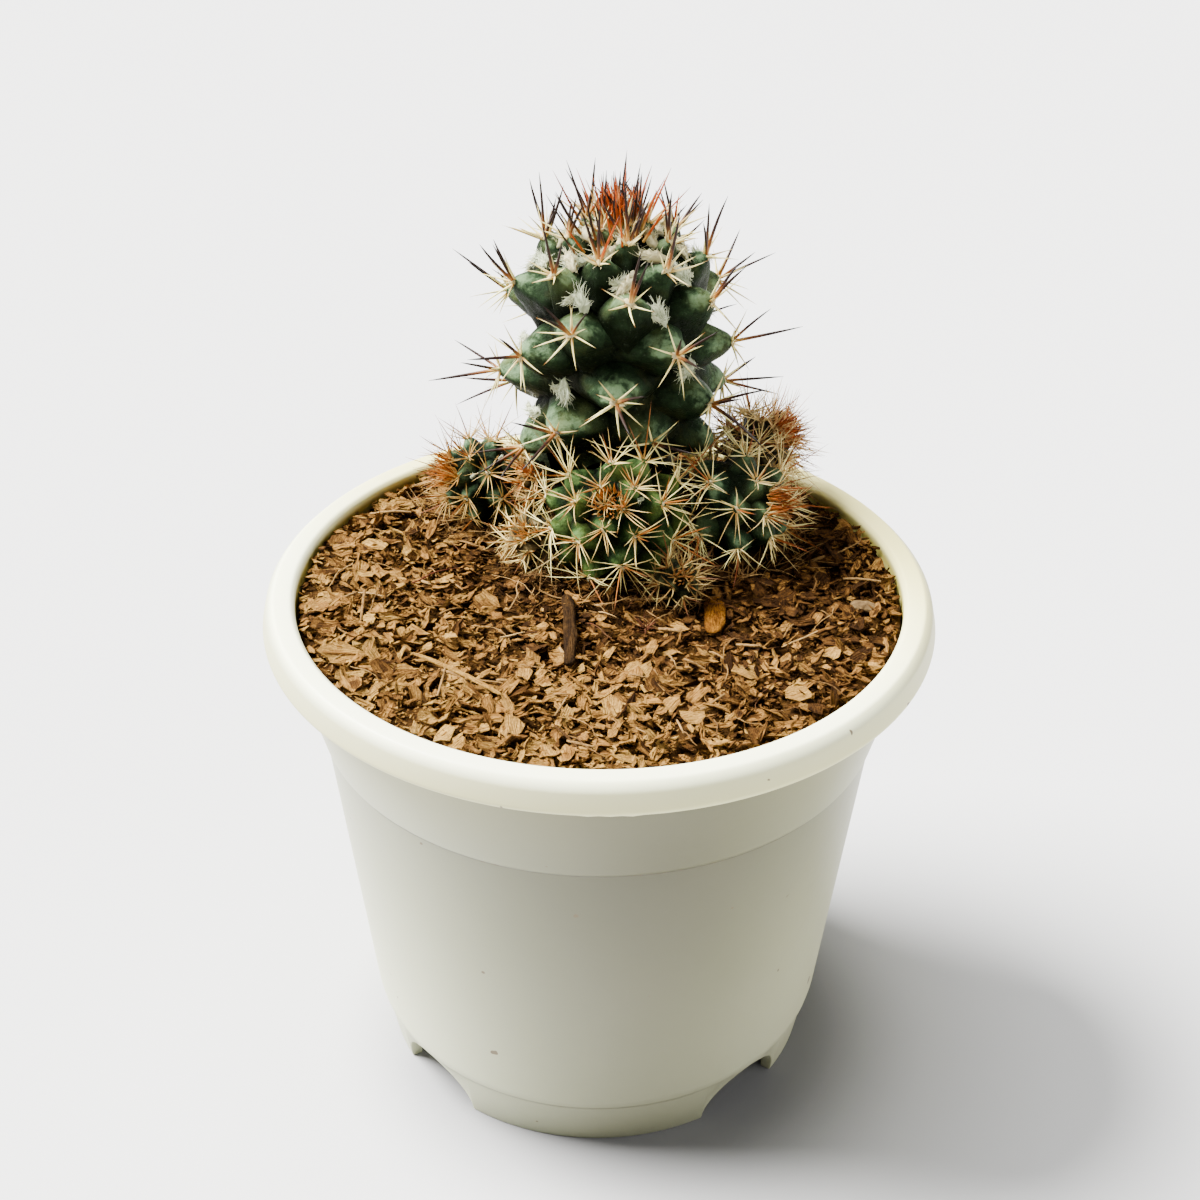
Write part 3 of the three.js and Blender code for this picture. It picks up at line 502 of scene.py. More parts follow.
def make_pot():
    profile = rounded(pot_profile(), CORNER_ROUNDING)
    half = math.asin(NOTCH_HALF_WIDTH / FOOT_RADIUS)
    between = TAU / NOTCH_COUNT
    turns = []
    for i in range(NOTCH_COUNT):
        centre = NOTCH_TURN + i * between
        turns += list(centre + half * np.sin(np.linspace(-math.pi / 2, math.pi / 2, 25)))
        turns += list(np.linspace(centre + half, centre + between - half, 38)[1:-1])
    turns = np.array(turns)
    nearest = (turns - NOTCH_TURN + between / 2) % between - between / 2
    across = np.clip(np.abs(FOOT_RADIUS * np.sin(nearest)) / NOTCH_HALF_WIDTH, 0, 1)
    arch = NOTCH_HEIGHT * np.sqrt(1 - across**2)

    # the foot ring's faces start at the notches' arches and keep their slope
    outer = (BODY_FOOT_RADIUS - FOOT_CREASE - STEP - FOOT_RADIUS) / FOOT_HEIGHT
    inner = STEP / FOOT_HEIGHT
    points = np.zeros((len(profile), len(turns), 3))
    for k, (radius, height) in enumerate(profile):
        z = np.full(len(turns), height)
        r = np.full(len(turns), radius)
        if height < FOOT_HEIGHT - 1e-6 and radius > FOOT_RADIUS - 2 * FOOT_WALL:
            z = arch + height * (FOOT_HEIGHT - arch) / FOOT_HEIGHT
            r = radius + (outer if radius > FOOT_RADIUS - FOOT_WALL / 2 else inner) * (z - height)
        points[k] = np.stack([r * np.sin(turns), -r * np.cos(turns), z], 1)
    flat = points.reshape(-1, 3)
    x, y, z = flat.T
    radius = np.hypot(x, y)
    # a burr hangs from the rim's lower edge at the front
    burr = np.exp(-((np.arctan2(x, -y) + 0.03) / 0.16) ** 2)
    edge = (np.abs(z - SKIRT_Z) < 0.15) & (radius > RIM_RADIUS - 0.6)
    z -= np.where(edge, burr * 0.6 * np.maximum(0, noise_at(flat, 0.9, 3)), 0)

    # dirt lies over the soil's edge and on the foot, and painted shade darkens a line along each of the two
    # ledges
    inside = (radius < LIP_RADIUS + 0.6) & (z > SOIL_LEVEL - 3)
    low = np.clip(1 - (z - SOIL_LEVEL) / 2.2, 0, 1)
    dirt_and_shade = np.where(inside, 0.32 * low * (0.5 + 0.7 * smooth_step(-10, 35, y)), 0)
    dirt_and_shade += np.where((z < 9) & (radius > FOOT_RADIUS - 3), 0.06, 0)
    lines = sum(np.exp(-((z - ledge) / 0.35) ** 2) for ledge in (COLLAR_FOOT_Z - 0.45, FOOT_HEIGHT + 0.3))
    dirt_and_shade += np.where(radius > BODY_FOOT_RADIUS - 1, 0.38 * lines, 0)
    # the rim is yellowed and given painted shade, most at the back, inside and low down, and the wall is tinted
    # yellower on its right side
    turn = (np.arctan2(x, -y) - PAINTED_SHADE_TURN + math.pi) % TAU - math.pi
    rim = smooth_step(POT_HEIGHT - 9, POT_HEIGHT - 3, z)
    yellowing_and_shade = rim * (0.03 + 0.62 * smooth_step(-24, 36, x * 0.5 + y))
    yellowing_and_shade = np.maximum(yellowing_and_shade, 0.25 * np.clip(np.sin(turn), 0, 1) * (1 - rim))
    lower = rim * smooth_step(POT_HEIGHT - 0.6, POT_HEIGHT - 2, z)
    yellowing_and_shade = np.maximum(yellowing_and_shade, lower * (0.95 - 0.5 * smooth_step(RIM_RADIUS - 2, RIM_RADIUS, radius)))
    # the filling shows through the wall; painted shade makes it darkest at the front, a little towards +X, and
    # painted light makes it lighter at the sides and towards the foot
    wall = 1 - smooth_step(SKIRT_Z - 0.6, SKIRT_Z + 0.2, z)
    deep = smooth_step(COLLAR_FOOT_Z, FOOT_HEIGHT, z)
    light = (0.26 - 0.05 * np.sin(turn) + 0.05 * deep) * smooth_step(0.0, 1.05, np.abs(turn)) + 0.03 * deep
    light = light + 0.09 * smooth_step(24, 6, z)
    # painted shade: the rim's outer side takes the filling's dark colour
    side = 0.48 * smooth_step(RIM_RADIUS - 0.9, RIM_RADIUS + 0.2, radius) * (z > SKIRT_Z - 1)
    tint = tinted(dirt_and_shade, yellowing_and_shade, np.maximum(wall * (1 - light), side))

    skin = Skin()
    closed = np.concatenate([np.arange(len(flat)), np.arange(len(turns))])
    skin.add(flat, tint, closed[grid_faces(len(profile) + 1, len(turns))])
    pot = skin.object("pot_moulding", pot_material(), "pot_plastic", "pot")
    cut_drain_holes(pot)
    pot.data.set_sharp_from_angle(angle=math.radians(50))


def cut_drain_holes(pot):
    """The four round holes in the floor plate, around the middle one."""
    cutters = bmesh.new()
    for k in range(NOTCH_COUNT):
        angle = k * TAU / NOTCH_COUNT
        centre = Vector((math.sin(angle), -math.cos(angle), 0)) * DRAIN_RING
        centre.z = FLOOR_TOP - FLOOR_THICKNESS / 2
        bmesh.ops.create_cone(cutters, cap_ends=True, cap_tris=True, segments=40, radius1=DRAIN_RADIUS * MM,
                              radius2=DRAIN_RADIUS * MM, depth=(FLOOR_THICKNESS + 4) * MM,
                              matrix=Matrix.Translation(centre * MM))
    mesh = bpy.data.meshes.new("drill")
    cutters.to_mesh(mesh)
    cutters.free()
    drill = placed("drill", mesh)
    modifier = pot.modifiers.new("holes", "BOOLEAN")
    modifier.operation = "DIFFERENCE"
    modifier.object = drill
    modifier.solver = "EXACT"
    cut = bpy.data.meshes.new_from_object(pot.evaluated_get(bpy.context.evaluated_depsgraph_get()))
    pot.modifiers.clear()
    pot.data = cut
    bpy.data.objects.remove(drill)


# Soil


def soil_rise(x, y):
    """The mound and the lumps of the CAD soil, above its level."""
    away = np.hypot(x - MOUND_CENTRE[0], y - MOUND_CENTRE[1])
    u, v = x / LUMP_WAVE, y / LUMP_WAVE
    lumps = np.sin(u + 1) * np.cos(v) + 0.6 * np.sin(0.7 * u - 1.4 * v)
    return MOUND_HEIGHT * np.exp(-((away / MOUND_SPREAD) ** 2)) + LUMP_HEIGHT * lumps


def soil_height(x, y):
    """The fine mix lies a little under that rise, because the chips fill it up."""
    flat = np.stack([x, y, np.zeros_like(x)], -1).reshape(-1, 3)
    rough = 0.5 * noise_at(flat, 3.2, 1) + 0.28 * noise_at(flat, 1.2, 2)
    return SOIL_LEVEL + soil_rise(x, y) - 0.8 + 0.6 * rough.reshape(x.shape)


def strewn(rng, count, reach, least=0):
    """Places spread evenly over a disc, from a share of its area outwards."""
    away = np.sqrt(rng.uniform(least, 1, count)) * reach
    angle = rng.uniform(0, TAU, count)
    return away * np.cos(angle), away * np.sin(angle)


def pulled_in(x, y, reach):
    """The share that brings each place back inside a radius."""
    return np.minimum(1, reach / np.maximum(np.hypot(x, y), 1e-6))


def scatter_chips(rng, heads, count, corners, least, most, large):
    """Ragged, curled bark chips strewn over the soil, shorter by the plant, with painted shade that darkens them
    there and on the right.
    """
    cx, cy = strewn(rng, count, SOIL_EDGE - 0.4)
    closeness_and_shade = np.exp(-(np.hypot(cx - 4, cy - 11) / 24) ** 2)
    length = (least + (most - least) * rng.uniform(0, 1, count) ** 2.2) * (1 - 0.4 * closeness_and_shade)
    # painted shade by the plant and on the right
    closeness_and_shade = np.clip(closeness_and_shade + 0.38 * smooth_step(0, 36, cx), 0, 1)
    big = np.zeros(count, bool)
    if large:
        big[:len(FLAKES)] = True
        cx[big], cy[big], length[big] = np.array(FLAKES).T
    length = np.minimum(length, 2 * (SOIL_EDGE + 0.1 - np.hypot(cx, cy)) + 0.9)
    free = np.ones(count, bool)
    for head in heads.values():
        size = head.radius or head.foot_radius + 2
        free &= np.hypot(cx - head.foot[0], cy - head.foot[1]) > 0.6 * size
    cx, cy, length, closeness_and_shade, big = (each[free] for each in (cx, cy, length, closeness_and_shade, big))
    count = len(cx)

    # each chip lies in (u, v): a ragged ring of corners, drawn in a little at its underside
    wander = 0.8 * rng.uniform(-1, 1, (count, corners)) * (0.5 if corners > 6 else 1)
    turn = (np.arange(corners) + wander) / corners * TAU
    reach = rng.uniform(0.55, 1.08, (count, corners)) * length[:, None] / 2
    slim = np.where(big, 0.78, rng.uniform(0.2, 0.7, count))[:, None]
    u, v = reach * np.cos(turn), reach * np.sin(turn) * slim
    thick = rng.uniform(0.06, 0.24, count)[:, None] * np.sqrt(length[:, None] / 3)
    bow, curl, twist = (rng.uniform(low, high, (count, 1)) / np.maximum(length[:, None], 1)
                        for low, high in ((-0.8, 1.0), (-0.25, 0.35), (-0.4, 0.4)))

    def lift(u, v, rough):
        return bow * v**2 + curl * u**2 + twist * u * v + rng.normal(0, rough, u.shape) * length[:, None]

    edge_z = lift(u, v, 0.04)
    rings = [(u * 0.94, v * 0.94, edge_z - thick / 2), (u, v, edge_z + thick / 2)]
    if large:
        inner = rng.uniform(0.45, 0.65, (count, corners))
        rings.append((u * inner, v * inner, lift(u * inner, v * inner, 0.02) + thick / 2))
    middle = np.zeros((count, 1))
    rings.append((middle, middle, lift(middle, middle, 0.03) + thick / 2))
    local = np.concatenate([np.stack(ring, -1) for ring in rings], 1)
    along, across = local[:, :, 0], local[:, :, 1]
    grain = rng.uniform(0, 1, (count, 1))

    # tilted, turned, half sunk and kept inside the pot
    steep = np.where(big[:, None], 0.12, 0.36 if large else 0.5)
    tilt = np.clip(steep * rng.normal(0, 1, (count, 2)), -1.1, 1.1)
    for axis, angles in enumerate((tilt[:, 0], tilt[:, 1], rng.normal(0.15, 0.9, count))):
        local = rotate(local, angles, axis)
    sink = rng.uniform(-0.35, 0.75, count) if large else rng.uniform(-0.6, 0.55, count)
    ground = SOIL_LEVEL + soil_rise(cx, cy) + np.where(big, 0.95, sink + 0.05 * length)
    points = local + np.stack([cx, cy, ground], -1)[:, None]
    points[:, :, 2] = np.minimum(points[:, :, 2], SOIL_LEVEL + 3.2)
    points[:, :, :2] *= pulled_in(points[:, :, 0], points[:, :, 1], SOIL_EDGE + 0.15)[:, :, None]

    # painted shade: each chip is darker at its lower and outer edge, the chips are darker by the plant and on
    # the right, and the smaller pieces darker still
    shade = np.where(big, 0.86, rng.normal(0.69, 0.22, count) - 0.7 * closeness_and_shade - (0 if large else 0.1))
    painted_edge_shade = np.zeros(local.shape[1])
    painted_edge_shade[:corners] = 0.34
    painted_edge_shade[corners:2 * corners] = 0.16
    shade = np.clip(shade[:, None] - painted_edge_shade + rng.normal(0, 0.05, local.shape[:2]), 0.03, 1)
    k = np.arange(corners)
    last = (len(rings) - 2) * corners
    tops = np.stack([k + last, (k + 1) % corners + last, np.full(corners, last + corners)], 1)
    under = np.array([(0, j + 1, j) for j in range(1, corners - 1)])
    step = (np.arange(count) * local.shape[1])[:, None, None]
    chips = Skin()
    chips.add(points, tinted(shade, grain + across / 9, grain + along / 20),
              (grid_faces(len(rings) - 1, corners) + step).reshape(-1, 4),
              (np.concatenate([tops, under]) + step).reshape(-1, 3))
    return chips


def make_mix():
    """The fine mix: its rough top, and its side and underside along the pot's wall and floor."""
    rings, columns = 74, 200
    radius = SOIL_EDGE * (np.arange(rings) / (rings - 1)) ** 0.8
    turn = circle_turns(columns)
    x = radius[:, None] * np.cos(turn)
    y = radius[:, None] * np.sin(turn)
    top = np.stack([x, y, soil_height(x, y)], -1)
    wall = [(COLLAR_TOP_RADIUS - WALL - GAP, COLLAR_TOP_Z),
            (COLLAR_FOOT_RADIUS - STEP - WALL - GAP, COLLAR_FOOT_Z),
            (BODY_FOOT_RADIUS - WALL - GAP, FLOOR_TOP + WALL),
            (BODY_FOOT_RADIUS - 1.5 * WALL - GAP, FLOOR_TOP + GAP), (0.01, FLOOR_TOP + GAP)]
    sides = [np.stack([r * np.cos(turn), r * np.sin(turn), np.full(columns, h)], -1) for r, h in wall]
    points = np.concatenate([top, np.array(sides)])
    shade = np.clip(0.22 + 0.1 * noise_at(points.reshape(-1, 3), 2.5, 5), 0, 1)
    mix = Skin()
    mix.add(points, tinted(shade, shade, shade), grid_faces(len(points), columns))
    look = bark_material("soil_mix", (0.0, (0.012, 0.005, 0.001)), (0.3, (0.06, 0.026, 0.004)),
                         (0.6, (0.15, 0.072, 0.012)), (1.0, (0.3, 0.16, 0.03)))
    mix.object("soil_mix", look, "bark_soil", "soil")


def make_chips(rng, heads):
    bark = bark_material("bark", (0.0, (0.028, 0.011, 0.002)), (0.25, (0.112, 0.048, 0.01)),
                         (0.5, (0.272, 0.131, 0.03)), (1.0, (0.43, 0.25, 0.062)))
    sizes = {  # count, corners, shortest and longest, and whether they are the large ones
        "soil_bark_chips": (CHIP_COUNT, 10, 2.0, 6.0, True),
        "soil_bark_scraps": (SCRAP_COUNT, 6, 1.0, 3.2, False),
        "soil_bark_bits": (BIT_COUNT, 4, 0.45, 1.3, False),
    }
    for name, size in sizes.items():
        piece = scatter_chips(rng, heads, *size).object(name, bark, "bark_soil", "soil")
        piece.data.set_sharp_from_angle(angle=math.radians(26))


def add_rootlets(skin, rng):
    """Fine roots that wind over the soil."""
    count, steps = ROOT_COUNT, 9
    x, y = strewn(rng, count, SOIL_EDGE - 6)
    heading = rng.uniform(0, TAU, count)[:, None] + np.cumsum(rng.normal(0, 0.28, (count, steps)), 1)
    stride = rng.uniform(0.25, 1.2, count)[:, None]
    x = x[:, None] + np.cumsum(np.cos(heading) * stride, 1)
    y = y[:, None] + np.cumsum(np.sin(heading) * stride, 1)
    inside = pulled_in(x, y, SOIL_EDGE - 1)
    x, y = x * inside, y * inside
    lift = 0.5 + 0.5 * np.sin(np.linspace(0, math.pi, steps)) + rng.uniform(-0.2, 0.4, (count, 1))
    z = SOIL_LEVEL + soil_rise(x, y) + lift
    radii = rng.uniform(0.05, 0.16, (count, 1)) * np.linspace(1, 0.5, steps)
    tint = np.clip(rng.normal(0.5, 0.2, (count, 1, 1)), 0, 1)
    add_tubes(skin, np.stack([x, y, z], -1), radii, 5, tint)


def add_stalks(skin, rng):
    """Short straight bits of straw and stalk."""
    count, steps = STALK_COUNT, 4
    x, y = strewn(rng, count, SOIL_EDGE - 5, 0.1)
    heading = rng.uniform(0, TAU, count)[:, None]
    t = np.linspace(-0.5, 0.5, steps) * rng.uniform(2.5, 7, (count, 1))
    x, y = x[:, None] + t * np.cos(heading), y[:, None] + t * np.sin(heading)
    z = SOIL_LEVEL + soil_rise(x, y) + 0.95 + t * rng.normal(0, 0.12, (count, 1))
    inside = pulled_in(x, y, SOIL_EDGE - 1)
    radii = rng.uniform(0.12, 0.3, (count, 1)) * np.array([0.8, 1, 1, 0.7])
    tint = np.clip(rng.normal(0.75, 0.2, (count, 1, 1)), 0.2, 1)
    add_tubes(skin, np.stack([x * inside, y * inside, z], -1), radii, 6, tint)


def add_shed_spines(skin, rng, heads):
    """Shed spines and threads around the feet of the heads, and one shed cluster in front of them."""
    starts, ways, shades = [], [], []
    for head in heads.values():
        size = head.radius or head.foot_radius
        for _ in range(int(SHED_SPINES * size)):
            turn, away = rng.uniform(0, TAU), size * rng.uniform(0.75, 1.4)
            starts.append((head.foot[0] + away * math.sin(turn), head.foot[1] - away * math.cos(turn)))
            ways.append((*rng.normal(0, 1, 2), abs(rng.normal(0, 0.6))))
            shades.append(rng.uniform(0.25, 0.9))
    for turn in np.arange(CLUSTER_SPINES) * DIVERGENCE:
        starts.append((CLUSTER[0] + 0.3 * math.cos(turn), CLUSTER[1] + 0.3 * math.sin(turn)))
        ways.append((math.cos(turn), math.sin(turn), 0.5 + 0.3 * math.cos(3 * turn)))
        shades.append(0.05)
    starts = np.array(starts)
    count = len(starts)
    ground = SOIL_LEVEL + soil_rise(starts[:, 0], starts[:, 1]) + rng.uniform(0.3, 1.2, count)
    size = rng.uniform(2, 6, count)
    size[-CLUSTER_SPINES:] = 2.2
    paths = bent(np.column_stack([starts, ground]), unit(ways), size, rng.normal(0, 0.12, (count, 3)), 5)
    radii = rng.uniform(0.07, 0.14, count)[:, None] * np.array([0.8, 1, 0.8, 0.5, 0.1])
    paths[..., :2] *= pulled_in(paths[..., 0], paths[..., 1], SOIL_EDGE - 0.5)[..., None]
    paths[..., 2] = np.clip(paths[..., 2], SOIL_LEVEL + 0.3, SOIL_LEVEL + 6)
    add_tubes(skin, paths, radii, 3, np.array(shades)[:, None, None])


def make_soil(heads):
    rng = np.random.default_rng(SEED)
    make_mix()
    make_chips(rng, heads)
    strands = Skin()
    add_rootlets(strands, rng)
    add_stalks(strands, rng)
    add_shed_spines(strands, rng, heads)
    look = bark_material("roots", (0.0, (0.1, 0.025, 0.012)), (0.2, (0.1, 0.05, 0.02)),
                         (0.5, (0.25, 0.135, 0.042)), (1.0, (0.44, 0.27, 0.1)))
    strands.object("soil_roots", look, "bark_soil", "soil")


def make_rod(node, name, start, end, width, around, along, blunt, rough, streak, material, slot, bow=0, sag=1):
    """A lumpy rod, blade or stone lying between two points on the soil, in place of a CAD piece.

    Around and along count its mesh's points. Streak draws its lumps out lengthwise, bow bends it sideways and
    sag is how much of the CAD piece's height it keeps.
    """
    low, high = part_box(node)
    middle = (low.z + high.z) / 2 / MM
    height = (high.z - low.z) / MM
    start, end = np.array([*start, middle]), np.array([*end, middle])
    way = unit(end - start)
    across = np.cross([0, 0, 1.0], way)
    start, end = start - way * width / 2, end + way * width / 2
    t = 0.5 - 0.5 * np.cos(np.linspace(0, math.pi, along))
    turn = circle_turns(around)
    swell = np.clip(1 - np.abs(2 * t - 1) ** blunt, 0.0004, 1) ** 0.5
    centre = start + t[:, None] * (end - start) + across * (bow * np.sin(math.pi * t))[:, None]
    ring = np.cos(turn)[None, :, None] * across * width / 2
    ring = ring + np.sin(turn)[None, :, None] * np.array([0, 0, 1.0]) * height / 2 * sag
    points = centre[:, None] + swell[:, None, None] * ring
    flat = points.reshape(-1, 3)
    stretched = np.stack([flat @ way / streak, flat @ across, flat[:, 2]], 1)
    bumps = noise_at(stretched, 0.45 * width, 4) + 0.5 * noise_at(stretched, 0.18 * width, 6)
    flat = flat + (flat - np.repeat(centre, around, 0)) * (rough * bumps)[:, None]
    tint = tinted(0.55 + 0.25 * bumps, np.tile(turn / TAU * 0.7, along), np.repeat(t, around))
    skin = Skin()
    skin.add(flat, np.clip(tint, 0, 1), grid_faces(along, around)[:, ::-1])
    skin.object(name, material, slot, node)


def make_litter():
    wood = bark_material("twig_bark", (0.0, (0.005, 0.002, 0.001)), (0.4, (0.018, 0.008, 0.002)),
                         (0.7, (0.05, 0.024, 0.006)), (1.0, (0.12, 0.066, 0.02)))
    blade = bark_material("straw_skin", (0.0, (0.22, 0.09, 0.015)), (0.5, (0.5, 0.27, 0.06)),
                          (1.0, (0.62, 0.39, 0.11)))
    flake = bark_material("orange_bark", (0.0, (0.03, 0.009, 0.002)), (0.5, (0.13, 0.046, 0.004)),
                          (1.0, (0.28, 0.118, 0.009)))
    stone = stone_material()
    make_rod("twig", "twig_wood", (-4.9, -4), (-4.3, -20.4), 1.9, 26, 70, 14, 0.22, 6, wood, "twig_wood", 0.35)
    make_rod("straw", "straw_blade", (-26.5, -19), (-13.8, -28.8), 0.8, 12, 50, 8, 0.12, 9, blade, "straw", 0.5)
    make_rod("bark_orange", "bark_flake", (17.4, -4), (16.7, -10.8), 3.2, 30, 40, 3, 0.42, 3, flake,
             "bark_chip", sag=0.8)
    make_rod("pebble", "pebble_stone", (38.8, -4.2), (40.8, -5), 2.2, 30, 26, 2.2, 0.16, 1, stone, "pebble")


# Heads


def describe_heads():
    """Each head's sizes and growth. Its tips are heights along its axis and radii, from the crown down."""
    heads = {"stem_main": SimpleNamespace(
        foot=(2.2, 26.4), foot_radius=8.6, neck_top=STEM_TIPS[-1][0] + 2, origin=np.array([2.2, 26.4, 0]),
        axis=np.array([0, 0, 1.0]), radius=0, core=0, tips=STEM_TIPS, tubercle=6.4, cell=148,
        first=math.radians(-8.6), growth=(0.03, 0.0237, 18), radial_length=7, central_length=11.5, droop=0.5)}
    angles = np.arange(14) / 13 * 0.8 * math.pi
    for name, (radius, tubercle, cell, first, centre, lean) in PUPS.items():
        core = radius - tubercle
        heads[name] = SimpleNamespace(
            foot=centre[:2], foot_radius=1.4 if radius < 5 else 0.42 * core + 0.6, neck_top=centre[2],
            origin=np.array(centre, float), axis=unit(lean), radius=radius, core=core,
            tips=[(radius * math.cos(a), radius * math.sin(a)) for a in angles], tubercle=tubercle, cell=cell,
            first=first, growth=(0.2, 0.06, 1e9), radial_length=2.2 + 0.3 * radius,
            central_length=3 + 0.45 * radius, droop=0.2)
    return heads


def square_to(axis):
    """Two directions square to an axis and to each other; the first lies level."""
    side = np.array([1.0, 0, 0]) if abs(axis[2]) > 0.99 else unit(np.cross([0, 0, 1.0], axis))
    return side, np.cross(side, axis)


def tubercles(head):
    """The places of a head's tubercles, by the rule of the CAD model."""
    side, front = square_to(head.axis)
    start, slope, late = head.growth

    def cell_at(n):
        return head.cell * min(1, start + slope * (n + max(0, n - late)))

    places = []
    wanted, covered = 0.6 * cell_at(0), 0
    for (h0, r0), (h1, r1) in zip(head.tips, head.tips[1:]):
        surface = math.pi * (r0 + r1) * math.hypot(h1 - h0, r1 - r0)
        while wanted < covered + surface:
            n = len(places)
            part = (wanted - covered) / surface
            turn = head.first + n * DIVERGENCE
            away = side * math.sin(turn) + front * math.cos(turn)
            slant = math.atan2(r1 - r0, h0 - h1)
            out = away * math.cos(slant) + head.axis * math.sin(slant)
            up = head.axis * math.cos(slant) - away * math.sin(slant)
            tip = head.origin + head.axis * (h0 + (h1 - h0) * part) + away * (r0 + (r1 - r0) * part)
            places.append(SimpleNamespace(tip=tip, out=out, up=up, side=np.cross(up, out), number=n,
                                          size=math.sqrt(cell_at(n)), age=cell_at(n) / head.cell))
            wanted += cell_at(n + 1)
        covered += surface
    return places


def outside_of(head, points):
    """How far points lie outside the outline over a head's tips; negative inside it."""
    points = np.asarray(points, float)
    if head.core:
        return np.linalg.norm(points - head.origin, axis=-1) - head.radius
    heights, radii = np.array(head.tips)[::-1].T
    z = np.clip(points[..., 2], heights[0], heights[-1])
    away = np.hypot(points[..., 0] - head.foot[0], points[..., 1] - head.foot[1])
    beyond, over = away - np.interp(z, heights, radii), points[..., 2] - z
    return np.where(over > 0, np.hypot(np.maximum(0, beyond), over), beyond)


def presses_in(head, point, others):
    """Whether a tubercle's tip at that point would enter the soil or another head."""
    if point[2] < HEAD_FLOOR:
        return True
    for other in others:
        if other.core and np.linalg.norm(point - other.origin) < other.core + CORE_SKIN + GAP:
            return True
        if head.core and other.core and head.radius > other.radius:
            continue
        if outside_of(other, point) > PRESS_REACH:
            continue
        if not head.core or np.linalg.norm(point - head.origin) > head.core + CORE_SKIN:
            return True
    return False


def pressed_back(head, tip, out, depth, others):
    for part in np.arange(20) / 20:
        if not presses_in(head, tip - out * part * depth, others):
            return part * depth
    return depth


def stem_fade(height):
    """The stem's tubercles are shallower near the soil."""
    return min(1, max(0.2, (height - SOIL_LEVEL) / STEM_FADE))


def shape_places(head, others):
    """Each tubercle's base, depth and top, pressed back where another head or the soil is in its way."""
    places = tubercles(head)
    for place in places:
        fading = 1 if head.core else stem_fade(place.tip[2])
        place.depth = head.tubercle * (YOUNG_LENGTH + (1 - YOUNG_LENGTH) * place.age) * fading
        place.base = place.tip - place.out * place.depth
        tip = place.tip + place.up * TIP_LIFT * place.depth
        back = pressed_back(head, tip, place.out, place.depth, others)
        place.pressed = back > 0.3
        place.top = tip - place.out * back
        place.top[2] = max(place.top[2], HEAD_FLOOR)
    return places


def add_tubercle(skin, place, rng, looks):
    """One blunt cone with a rounded back and a keel beneath, rooted deep in the axils."""
    angle = circle_turns(looks.around)
    phi = np.linspace(-0.45, math.pi / 2, looks.rings)
    height = np.where(phi < 0, phi, np.sin(np.maximum(phi, 0)))
    above = np.maximum(height, 0)
    nose = np.sqrt(np.maximum(0, 1 - above**6))
    own = rng.uniform(0.94, 1.06)
    width = place.size * own * (looks.taper * (1 - height) + looks.blunt * nose)
    width = width * (1.3 - 0.3 * place.age)
    rise = place.top - place.base
    through = float(rise @ place.out)
    drift = rise - place.out * through
    arch = place.up * ARCH * place.size * place.age
    centre = (place.base + np.outer(height, place.out) * through
              + (0.5 * height + 0.5 * height**2)[:, None] * drift + np.outer(1 - above**2, arch))
    # the section is round above and edged below, and rounds off again at the tip
    keel = np.clip(-np.sin(angle), 0, 1)
    power = 2 - np.outer(1 - above**4, 0.36 + looks.keel * keel**0.5)
    reach = (np.abs(np.cos(angle)) ** power + np.abs(np.sin(angle)) ** power) ** (-1 / power)
    uneven = 1 + 0.05 * np.cos(angle + rng.uniform(0, TAU)) + 0.03 * np.cos(3 * angle + rng.uniform(0, TAU))
    ring = width[:, None] * (reach * uneven)
    tall = np.where(np.sin(angle) > 0, looks.flat, looks.flat + 0.08)
    points = (centre[:, None] + (ring * np.cos(angle))[:, :, None] * place.side
              + (ring * np.sin(angle) * tall)[:, :, None] * place.up)
    flat = points.reshape(-1, 3)
    lump = noise_at(flat, 0.4 * place.size, place.number % 7) + 0.5 * noise_at(flat, 0.17 * place.size, 5)
    flat = flat + (flat - np.repeat(centre, looks.around, 0)) * (0.12 * lump)[:, None]
    flat[:, 2] = np.maximum(flat[:, 2], SKIN_FLOOR)
    # painted shade: each tubercle's underside is darker than its top
    painted_shading = np.tile(0.42 + 0.58 * smooth_step(-0.45, 0.35, np.sin(angle)), looks.rings)
    climb_and_shade = np.repeat(np.clip(height * 0.85 + 0.15, 0, 1), looks.around) * painted_shading
    skin.add(flat, tinted(climb_and_shade, rng.uniform(0, 1), place.age), grid_faces(looks.rings, looks.around))


def add_core(skin, head):
    """The body under the tubercles, and the neck down to the soil."""
    side, front = square_to(head.axis)
    around = 40
    turn = circle_turns(around)
    circle = np.outer(np.cos(turn), side) + np.outer(np.sin(turn), front)
    if head.core:
        radius = head.core * 0.9
        outline = [(radius * math.cos(a), radius * math.sin(a)) for a in np.linspace(0.02, math.pi * 0.98, 20)]
    else:
        depths = [1.15 * head.tubercle * (0.4 + 0.6 * min(1, (STEM_TOP - h) / 10)) * stem_fade(h)
                  for h, _ in head.tips]
        outline = [(h - 1.6, max(0.05, r - depth)) for (h, r), depth in zip(head.tips, depths)]
    points = np.concatenate([head.origin + head.axis * h + circle * r for h, r in outline])
    points[:, 2] = np.maximum(points[:, 2], SKIN_FLOOR)
    # the core is painted with the darkest axil colour, as painted shade between the tubercles
    skin.add(points, (0.0, 0.3, 0.7), grid_faces(len(outline), around)[:, ::-1])

    foot = np.array([*head.foot, 0])
    circle = np.stack([np.cos(turn), np.sin(turn), 0 * turn], 1)
    heights = np.linspace(SOIL_LEVEL - 2, head.neck_top, 6)
    neck = np.concatenate([foot + np.array([0, 0, h]) + circle * head.foot_radius for h in heights])
    # the neck too is painted with the darkest colour, as painted shade, and is old enough for cork
    skin.add(neck, (0.0, 0.1, 1.0), grid_faces(len(heights), around))


